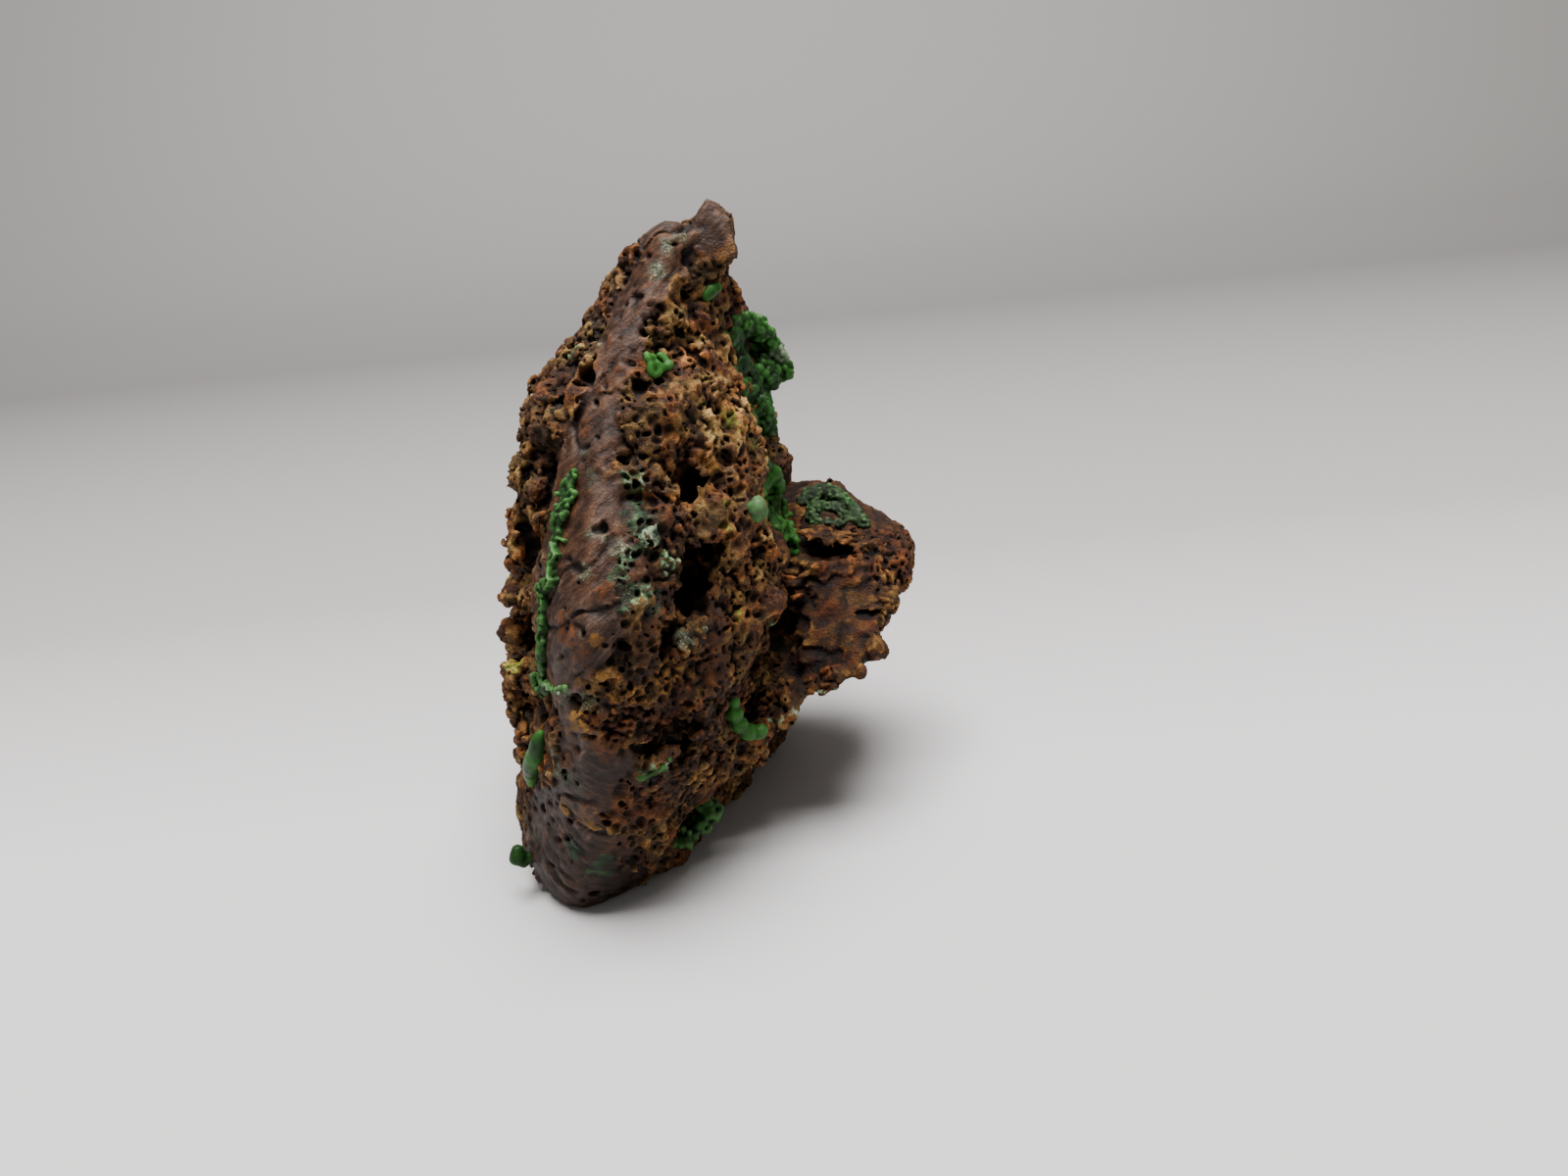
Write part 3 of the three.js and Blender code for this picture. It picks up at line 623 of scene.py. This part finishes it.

# Painted light on the ridges and painted shade in the pits.
colour = paint.painted_light_and_shade(colour, (0.3, (2.0, 2.1, 2.4)), (0.42, (1.15, 1.15, 1.15)), (0.5, (0.7, 0.66, 0.64)),
                        (0.58, (0.24, 0.21, 0.2)), (0.7, (0.03, 0.025, 0.025)))
colour = paint.mottled(colour, 120, 2.0, 0.38, (0.8, 0.76, 0.72), 0.62, (1.15, 1.17, 1.2))
# On the band the ridges are darkened again, which tones down the painted light on them.
colour = paint.tinted(colour, (0.6, 0.58, 0.55), paint.times(paint.between(buried, 0.38, 0.2), band))
paint.put(colour, shader.inputs["Base Color"])
paint.put(paint.times(band, -0.15, paint.times(fine, 0.3, 0.55)), shader.inputs["Roughness"])
shader.inputs["Specular IOR Level"].default_value = 0.2
uneven = paint.times(paint.grain(5200, 2.0), 0.4, paint.times(paint.grain(2600, 5.0), 0.6))
uneven = paint.times(walls, 0.35, uneven)
uneven = paint.mixed(uneven, drawn, paint.times(band, 0.7))
paint.put(paint.node("Bump", {"Strength": 0.9, "Distance": 0.0002, "Height": uneven}), shader.inputs["Normal"])

for name, part in parts.items():
    rock = thinned(piece(name, *skin(part, rock_start, rock_step)), rock_triangles)
    points = points_of(rock)
    painted(rock, "buried", sampled(rock_filled, (points - rock_start) / rock_step))
    painted(rock, "band", band_share(points))
    painted(rock, "lobe", lobe_share(points))
    painted(rock, "grain", cells(points + 0.45 * swirled(points), 1.05, 17)[2])
    for stain, spots in stains.items():
        painted(rock, stain, spotted(points, spots))
    rock.data.materials.append(limonite)
    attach(rock, "root")
    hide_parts("limonite_matrix")

# The rear patch. Botryoidal conichalcite in a thick heap on the right flank, behind the slab's upper edge, with a
# dark hollow in it. Like every crust it is heaped up from balls that melt into one skin, grown fast to the rock.

crust_step = 0.13
calm_rock = blurred(rock_values, 6)


def on_rock(places, lift=0.0):
    """The places moved to the rock's skin, with its gaps smoothed over, and lift mm out from it: each moves against
    the slope of the distance by what is left of the distance, a few times over."""
    places = np.array(places, np.float32)
    for _ in range(5):
        here = (places - rock_start) / rock_step
        slope = np.stack([sampled(calm_rock, here + side) - sampled(calm_rock, here - side)
                          for side in np.eye(3, dtype=np.float32)], axis=1) / (2 * rock_step)
        left = sampled(calm_rock, here) - lift
        places = places - slope * (left / np.maximum((slope ** 2).sum(axis=1), 0.3))[:, None]
    return places


def along(path, spacing):
    """Places every spacing mm on the line through the path's points, with whatever else each point carries."""
    path = np.array(path, np.float32)
    run = np.concatenate([[0], np.cumsum(np.linalg.norm(np.diff(path[:, :3], axis=0), axis=1))])
    steps = np.arange(0, run[-1], spacing)
    return np.stack([np.interp(steps, run, column) for column in path.T], axis=1)


def strewn(node, *layers):
    """Places under a CAD node's surface, one at random in every cube. Each layer gives its depth and the cubes'
    size, in mm, and a seed."""
    strewn_places = []
    for depth, spacing, seed in layers:
        values, start = distance_to(node, 0.15, depth + 0.6)
        shell = places_of(np.nonzero(np.abs(values + depth) < 0.12), start, 0.15)
        shell = np.random.default_rng(seed).permutation(shell)
        strewn_places.append(shell[np.unique(np.floor(shell / spacing), axis=0, return_index=True)[1]])
    return np.concatenate(strewn_places)


def crust(name, places, radii, pale, melt=1, dull=0.0, step=crust_step):
    """A crust of balls melted together: the distance to the nearest ball at each place of a grid, with fine lumps on
    it, blurred so many times. The balls are given by places and radii in mm, and how pale each is, from 0 to 1. The
    crust stands for the CAD node of its name."""
    margin, reach = 1.8, 0.5
    places = np.array(places, np.float32)
    radii, pale = (np.broadcast_to(np.array(given, np.float32), len(places)) for given in (radii, pale))
    start = np.floor((places.min(axis=0) - margin) / step) * step
    shape = np.ceil((places.max(axis=0) + margin - start) / step).astype(int)
    values, tint = np.full(shape, 1.0, np.float32), np.zeros(shape, np.float32)
    for place, radius, paleness in zip(places, radii, pale):
        low = np.maximum(((place - radius - reach - start) / step).astype(int), 0)
        high = np.minimum(((place + radius + reach - start) / step).astype(int) + 2, shape)
        block = tuple(slice(*ends) for ends in zip(low, high))
        away = sum((index * step + start[axis] - place[axis]) ** 2 for axis, index in enumerate(np.ogrid[block]))
        away = np.sqrt(away) - radius
        tint[block] = np.where(away < values[block], paleness, tint[block])
        values[block] = np.minimum(values[block], away)
    near = np.nonzero(np.abs(values) < reach)
    spots = places_of(near, start, step)
    values[near] += 0.07 * lumps(spots, 0.5, 51) + 0.05 * lumps(spots, 0.25, 52)
    values = blurred(values, melt)
    made = piece(name, *skin(values, start, step))
    here = (points_of(made) - start) / step
    filled = blurred(np.clip(0.5 - values / step, 0, 1), 8)
    painted(made, "pale", sampled(blurred(tint, 3), here))
    painted(made, "buried", sampled(filled, here))
    painted(made, "dull", np.full(len(here), dull))
    made.data.materials.append(conichalcite)
    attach(made, "root")
    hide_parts("conichalcite_" + name)


# Conichalcite: a copper mineral of deep to pale green, stony and matt where it is dull, and glassy elsewhere.
conichalcite, shader, paint = new_material("conichalcite")
dull = paint.attribute("dull")
pale = paint.times(paint.attribute("pale"), 1.0, paint.times(paint.grain(900), 0.5, -0.25))
colour = paint.ramp(pale, (0.0, (0.005, 0.019, 0.003)), (0.3, (0.013, 0.053, 0.008)), (0.6, (0.026, 0.106, 0.015)),
                    (0.85, (0.055, 0.13, 0.042)), (1.0, (0.12, 0.17, 0.1)))
stone = paint.ramp(paint.grain(1800, 4.0), (0.35, (0.014, 0.02, 0.011)), (0.5, (0.034, 0.046, 0.026)),
                   (0.65, (0.07, 0.085, 0.05)))
colour = paint.mixed(colour, stone, paint.times(dull, 0.85))
# Painted light on the ridges and painted shade in the pits, as on the rock.
colour = paint.painted_light_and_shade(colour, (0.25, (1.9, 1.7, 1.9)), (0.42, (1.0, 1.0, 1.0)), (0.55, (0.4, 0.45, 0.4)),
                        (0.65, (0.25, 0.285, 0.25)), (0.75, (0.1, 0.12, 0.1)))
colour = paint.mottled(colour, 2200, 3.0, 0.35, (0.8, 0.8, 0.8), 0.65, (1.2, 1.15, 1.2))
paint.put(colour, shader.inputs["Base Color"])
paint.put(paint.times(dull, 0.4, 0.42), shader.inputs["Roughness"])
shader.inputs["Specular IOR Level"].default_value = 0.12
uneven = paint.grain(7000, 2.0)
paint.put(paint.node("Bump", {"Strength": 0.5, "Distance": 0.00006, "Height": uneven}), shader.inputs["Normal"])

chance = np.random.default_rng(60)


def beaded(path, spacing, each, bead):
    """Balls every spacing mm on a line, each with so many beads set at random on its skin. Each of the path's
    points carries its ball's radius. Returns the places and the radii, balls first."""
    balls = along(path, spacing)
    ways = chance.normal(size=(each, len(balls), 3))
    ways /= np.linalg.norm(ways, axis=2, keepdims=True)
    beads = (balls[:, :3] + ways * balls[:, 3:]).reshape(-1, 3)
    bead_radii = chance.uniform(0.75, 1.2, len(beads)) * bead
    return np.concatenate([balls[:, :3], beads]), np.concatenate([balls[:, 3], bead_radii])


def from_middle(points, middle, radii):
    """How far the points are from the middle of an ellipsoid, in its radii: 1 is on its skin."""
    return np.sqrt((((points - middle) / radii) ** 2).sum(axis=1))


heap = strewn("conichalcite_rear_patch", (0.15, 0.75, 61), (0.8, 1, 62), (1.5, 1.2, 63))
in_hollow = from_middle(heap, (6, 6, 42.2), (2, 2.6, 1.7)) < 1
low_end = (heap[:, 2] < 38.8) & (heap[:, 0] > 7.5)
heap = heap[~in_hollow & ~low_end]
arc, arc_radii = beaded([(3.9, 3.2, 45.6, 0.7), (4.7, 4.4, 45.5, 0.8), (5.8, 6, 45, 0.9), (7, 8, 44.2, 0.9),
                         (8.2, 9, 42.8, 0.7), (9, 9.6, 41, 0.6), (9.8, 9.6, 39.2, 0.4)], 0.6, 12, 0.34)
edge, edge_radii = beaded([(5, 2.6, 40.4, 0.6), (5.6, 2.6, 39.9, 0.8), (6.3, 3, 38.8, 0.9), (7, 3.4, 37.2, 0.8),
                           (7.4, 4, 35.6, 0.7)], 0.6, 12, 0.34)

# The slab's flank behind the heap has a thin, ragged skin of the same mineral.
film = chance.uniform((4, -0.6, 34.6), (7.6, 7.4, 46.2), (760, 3))
spread = ((film[:, 1] - 3.2) / 3.6) ** 2 + ((film[:, 2] - 40.6) / 5.6) ** 2 + 0.7 * lumps(film, 1.8, 58)
film = on_rock(film[spread < 0.75], 0.05)
heap_radii = np.concatenate([chance.uniform(0.36, 0.6, len(heap)), arc_radii, edge_radii,
                             chance.uniform(0.28, 0.5, len(film))])
heap = np.concatenate([heap, arc, edge, film])
pale_side = 1 - ease(from_middle(heap, (8.8, 9.4, 41), 1.0), 0.6, 1.8)
deep = 1 - ease(from_middle(heap, (5.6, 3.6, 42.2), (2.4, 3.6, 2)), 0.7, 1.1)
crust("rear_patch", heap, heap_radii, 0.36 + 0.35 * lumps(heap, 1.6, 64) + 0.6 * pale_side - 0.4 * deep, melt=0)

# The neck crust. A strip of plump bright-green beads that grew down the flank, from the rear patch to where the
# lobe joins the slab.

strip = strewn("conichalcite_neck_crust", (0.2, 0.85, 65), (0.9, 1, 66))
side, side_radii = beaded(
    [(6.9, 1, 33.6, 0.35), (7.2, 2, 32.8, 0.5), (7.6, 4, 31.4, 0.6), (6.9, 1.6, 30.6, 0.45),
     (7.9, 4, 29.8, 0.6), (7.1, 2.2, 28.6, 0.5), (8.2, 4.2, 27.8, 0.55), (7.3, 1.4, 27, 0.45),
     (8.4, 4.6, 26.2, 0.5), (7.6, 2.4, 25.4, 0.55), (8.3, 3.2, 24.6, 0.6), (8, 2.8, 23.8, 0.4)], 0.6, 7, 0.34)
radii = np.concatenate([chance.uniform(0.3, 0.46, len(strip)), side_radii])
strip = np.concatenate([strip, on_rock(side, 0.25)])
crust("neck_crust", strip, radii, 0.42 + 0.25 * lumps(strip, 1.5, 67) + 0.02 * (30 - strip[:, 2]))

# The lobe's crust. A thin, rough skin of dark grey-green grains on top of the lobe. It has weathered, so it is dull
# and stony, and it grew over a few low knolls.

knolls = np.array([
    (10, 9.4, 26.7, 0.6), (10.9, 10.6, 27, 0.8), (12.2, 10.9, 27.3, 1), (13.2, 10.6, 26.9, 0.9),
    (14.2, 9.6, 26, 0.7), (15.2, 8.2, 25.2, 0.6), (15.9, 6.8, 24.8, 0.45), (14.2, 7.2, 25.2, 0.5),
    (13.4, 8.8, 25.8, 0.6), (11.3, 8.8, 26.2, 0.6), (10.5, 7.4, 25.8, 0.5), (11.2, 6.2, 25.2, 0.4),
    (12.6, 5.8, 25, 0.35), (13.6, 6.2, 25, 0.35)])
knolls[:, :3] = on_rock(knolls[:, :3], 0.1)
grit, grit_radii = beaded(knolls, 0.7, 14, 0.25)
crust("lobe_crust", grit, grit_radii, 0.25 + 0.5 * lumps(grit, 1.2, 69), melt=0, dull=0.6)

# The left ribbon. A wavy band of green crust along the ledge left of the broken face, with thin frills that stand
# out of it and are paler at their rims.


def ribbon(path, each, lift=0.05):
    """Places, radii and paleness of balls strewn across a band on the rock. The path's points carry half its width,
    the band sways with a sine wave, and the balls are raised with the square of their distance from its middle."""
    line = along(path, 0.22)
    across = chance.uniform(-1, 1, (each, len(line)))
    waves = 0.3 * np.sin(np.arange(len(line)) * 0.9) * line[:, 3]
    sideways = np.array((0.92, -0.3, 0.25), np.float32)
    places = line[:, :3] + (across * line[:, 3] + waves)[:, :, None] * sideways
    places += chance.normal(0, 0.07, places.shape)
    across = across.ravel()
    radii = 0.36 - 0.15 * np.abs(across) + chance.uniform(-0.1, 0.06, across.size)
    return on_rock(places.reshape(-1, 3), lift + 0.45 * across ** 2), radii, 0.12 + 0.5 * across ** 4


def frill(path, height, thick, rim, foot=0.1):
    """Places, radii and paleness of balls in a thin wall that stands height mm out from the rock along a path, in
    rows one over the other. It gets paler from its foot to its rim with the cube of the height."""
    line = along(path, 0.12)
    line[:, :3] += 0.16 * np.stack([lumps(line[:, :3], 0.45, seed) for seed in (54, 55, 56)], axis=1)
    rows = np.arange(0.0, height, 0.11)
    share = np.tile(rows / rows[-1], len(line))
    places = on_rock(np.repeat(line[:, :3], len(rows), axis=0), share * height)
    uneven = 1 + 0.35 * lumps(places, 0.4, 57)
    return places, thick * uneven * (1 - 0.25 * share), blend(foot, rim, share ** 3)


growth = [ribbon(
    [(-8.2, -13.3, 38.6, 0.3), (-8.5, -13.8, 37.4, 0.75), (-8.8, -14.5, 36.2, 0.85), (-9.4, -14.8, 35, 0.6),
     (-9.8, -15.5, 34, 0.4), (-10.2, -16.1, 32.8, 0.35), (-10.4, -16.3, 31.4, 0.4), (-11.6, -16.2, 30.8, 0.4),
     (-12, -16.3, 29.6, 0.3), (-12, -16.4, 28.2, 0.35), (-12.3, -16.5, 26.6, 0.4), (-12.5, -16.3, 25, 0.4),
     (-12.7, -16, 24, 0.35), (-13.4, -16.2, 23, 0.6), (-13.3, -16.7, 22.2, 0.4)], 7)]
for path, height, thick, rim in (
        ([(-9.6, -14.6, 36.4), (-9, -14.6, 36.8), (-7.9, -14.4, 36.6)], 0.5, 0.17, 0.7),
        ([(-8.6, -13.4, 38.2), (-7.9, -13.4, 37.6), (-8.2, -14, 37)], 0.4, 0.15, 0.85),
        ([(-9.9, -14.6, 36), (-9.9, -15.2, 34.5), (-10.5, -15.8, 33.6), (-10.7, -16.1, 32.7)], 0.45, 0.15, 0.5),
        ([(-10.2, -15.3, 34.1), (-9.4, -15.1, 34.2), (-8.6, -16.1, 34.1)], 0.4, 0.14, 0.8),
        ([(-9.9, -15.7, 33.8), (-9.1, -16.4, 33), (-10.1, -16.4, 32.1), (-9.7, -17, 31.3),
          (-10.4, -16.3, 30.5)], 0.7, 0.16, 0.8),
        ([(-10.4, -16.3, 30.5), (-10.9, -16.5, 31.3), (-11.6, -16.2, 31.2), (-12.2, -15.8, 30.4),
          (-11.8, -16.6, 29.8), (-11.4, -16.4, 29.1), (-12.4, -16.2, 28.4), (-12.1, -16.5, 27.6),
          (-12.6, -16.4, 26.6), (-12.1, -16.6, 25.9), (-12.7, -16.2, 25.1), (-12.4, -15.8, 24)], 0.6, 0.16, 0.65),
        ([(-13.6, -16, 23.2), (-12.9, -16.4, 22.5), (-12.2, -17.1, 22.7)], 0.45, 0.15, 0.9)):
    growth.append(frill(path, height, thick, rim))
places, radii, shade = ribbon([(-12.6, -16.6, 22.6, 0.4), (-11.7, -17.5, 22.6, 0.5), (-10.6, -18.7, 23, 0.4),
                               (-9.9, -19.4, 23.7, 0.3)], 5, lift=-0.12)
growth.append((places, radii * 0.7, shade + 0.45))
places, radii, shade = (np.concatenate(values) for values in zip(*growth))
crust("left_ribbon", places, radii, shade, melt=0, dull=0.22, step=0.1)

# The left vein. The lower end of the same growth: two smooth deep-green drops, one under the other, half sunk in
# the rock.

drop = np.concatenate([
    along([(-13, -16.1, 20.4, 0.3), (-13.3, -16, 19.4, 0.5), (-13.5, -15.9, 18.4, 0.3)], 0.25),
    along([(-13.7, -15.6, 17.6, 0.4), (-14.1, -15.2, 16.6, 0.75), (-14.7, -14.7, 15, 0.9),
           (-15.4, -14.2, 13.6, 0.85), (-15.9, -13.8, 12.4, 0.6), (-16.2, -13.6, 11.6, 0.25)], 0.25)])
crust("left_vein", blend(drop[:, :3], on_rock(drop[:, :3], 0.15), 0.4), drop[:, 3],
      0.36 + 0.25 * np.sin(drop[:, 2] * 2.2), melt=2)

# The front cluster. Bright green beads, high on the front, in three small rings that have grown into each other.
# Each ring is given by its middle in x and z and by its radius.

turns = np.linspace(0, 2 * math.pi, 9, endpoint=False)
rings = np.array([(x + radius * math.cos(turn), -8.3, z + radius * math.sin(turn))
                  for x, z, radius in ((0.1, 46.1, 0.56), (-0.8, 45.4, 0.52), (-1.1, 44.6, 0.42)) for turn in turns])
crust("front_cluster", on_rock(rings, 0.45), chance.uniform(0.28, 0.38, len(rings)),
      chance.uniform(0.38, 0.58, len(rings)))

# The top bead. A small oval bead of the same green, grown on the rock just under the summit. It is three balls well
# melted together.

crust("top_bead", on_rock([(3.8, -2.5, 48.9), (4.3, -2.3, 49.1), (4.8, -2.1, 49.2)], 0.35),
      (0.5, 0.62, 0.5), 0.32, melt=3)

# The pale bead. A frosted ball of pale blue-green at the right edge of the face, slightly lumpy. It sits in the
# sponge by itself.

crust("pale_bead", [(5.8, -10, 33), (5.7, -9.9, 32.5), (5.9, -9.8, 33.4), (5.4, -10.1, 33.2), (6.2, -9.9, 32.6)],
      (0.78, 0.74, 0.62, 0.5, 0.5), (0.8, 0.68, 0.85, 0.66, 0.74), melt=2, dull=0.3)

# The hook. A curled growth of plump segments in the hollow between slab and lobe. It swells and narrows along its
# length with a cosine, and is paler where it swells.

hook = along([(2.2, -12.4, 16.9, 0.5), (2.1, -12.5, 16.1, 0.72), (2.2, -12.5, 15.2, 0.74), (2.6, -12.4, 14.3, 0.76),
              (3.4, -12.2, 13.7, 0.76), (4.3, -12, 13.7, 0.6)], 0.26)
segments = np.cos(np.arange(len(hook)) * 1.5)
crust("hook", hook[:, :3], hook[:, 3] * (0.84 + 0.22 * segments), 0.3 + 0.2 * segments)

# The hollow's rims. Small shelves of green crust round the dark hollow low on the front, let into its edge and pale
# at their own.

crust("hollow_rims", *ribbon(
    [(-5.4, -19.6, 17.2, 0.25), (-4.4, -19.4, 17.6, 0.3), (-3.4, -18.8, 17.2, 0.25), (-3.2, -18.8, 16.2, 0.25),
     (-3.6, -19.2, 15.2, 0.3), (-4.6, -19.8, 14.7, 0.35), (-5.6, -20, 14.9, 0.25)], 3, lift=-0.15))

# The rim tuft. A crest of small green grains on the lower right rim. More grains, below and half way down, root it
# in the rock.

tuft = strewn("conichalcite_rim_tuft", (0.35, 0.55, 70))
roots = on_rock(tuft, 0.05)
tuft = np.concatenate([tuft, blend(tuft, roots, 0.5), roots])
crust("rim_tuft", tuft, chance.uniform(0.24, 0.45, len(tuft)), 0.45 + 0.3 * lumps(tuft, 1.0, 71), dull=0.3)

# The foot bead. A small dark bead at the lower left edge, as three balls melted together and a fourth that joins
# them to the rock.

crust("foot_bead", [(-18.4, -13, 4.1), (-18, -12.9, 3.5), (-18.3, -12.8, 4.6), (-17.4, -12.7, 3.7)],
      (0.8, 0.6, 0.6, 0.6), 0.12, melt=2)

# The floor and backdrop, which aren't part of the object. One sheet of plain paper runs back and curves up. Its
# colour is painted darker behind the specimen: painted shade.

near_end, far_end, rise, height, half_width = -600, 350, 250, 900, 1200
turn = np.linspace(0, math.pi / 2, 24)
profile = np.concatenate([
    [[near_end, 0]], np.stack([far_end + rise * np.sin(turn), rise * (1 - np.cos(turn))], axis=1),
    [[far_end + rise, height]]])
sides = np.tile((-half_width, half_width), len(profile))
row = 2 * np.arange(len(profile) - 1)
sweep = piece("sweep", np.column_stack([sides, np.repeat(profile, 2, axis=0)]),
              np.stack([row, row + 1, row + 3, row + 2], axis=1))
paper, shader, paint = new_material("paper")
back = paint.node("SeparateXYZ", {"Vector": paint.node("TexCoord", {}, "Object")}, "Y")
# Painted shade: the paper darkens behind the specimen and lightens again up the backdrop.
paint.put(paint.ramp(back, (0.0, (0.57, 0.553, 0.548)), (0.06, (0.34, 0.324, 0.315)),
                     (0.25, (0.18, 0.171, 0.165)), (0.6, (0.45, 0.43, 0.412))), shader.inputs["Base Color"])
shader.inputs["Roughness"].default_value = 0.9
sweep.data.materials.append(paper)

# The light. A wide soft lamp hangs over the specimen, and the room adds a little from all round.

overhead = bpy.data.lights.new("overhead", "AREA")
overhead.shape = "RECTANGLE"
overhead.size, overhead.size_y = 0.4, 0.3
overhead.energy = 9.5
lamp = bpy.data.objects.new("overhead", overhead)
lamp.location = (0.0, 0.0, 0.55)
bpy.context.scene.collection.objects.link(lamp)
world = bpy.data.worlds.new("room")
world.use_nodes = True
background = world.node_tree.nodes["Background"]
background.inputs["Color"].default_value = (1, 0.98, 0.96, 1)
background.inputs["Strength"].default_value = 0.22
bpy.context.scene.world = world

# The camera stands where the photograph was taken from: 98 mm in front, looking 23.3 degrees down and leaning a
# little to one side.
camera_data = bpy.data.cameras.new("camera")
camera_data.sensor_width = 36
camera_data.lens = 26.55
camera_data.clip_start = 0.005
camera = bpy.data.objects.new("camera", camera_data)
camera.matrix_world = (Matrix.Translation((0.0073, -0.098, 0.06375))
                       @ Matrix.Rotation(math.radians(90 - 23.3), 4, "X")
                       @ Matrix.Rotation(math.radians(-5.8), 4, "Z"))
bpy.context.scene.collection.objects.link(camera)
bpy.context.scene.camera = camera
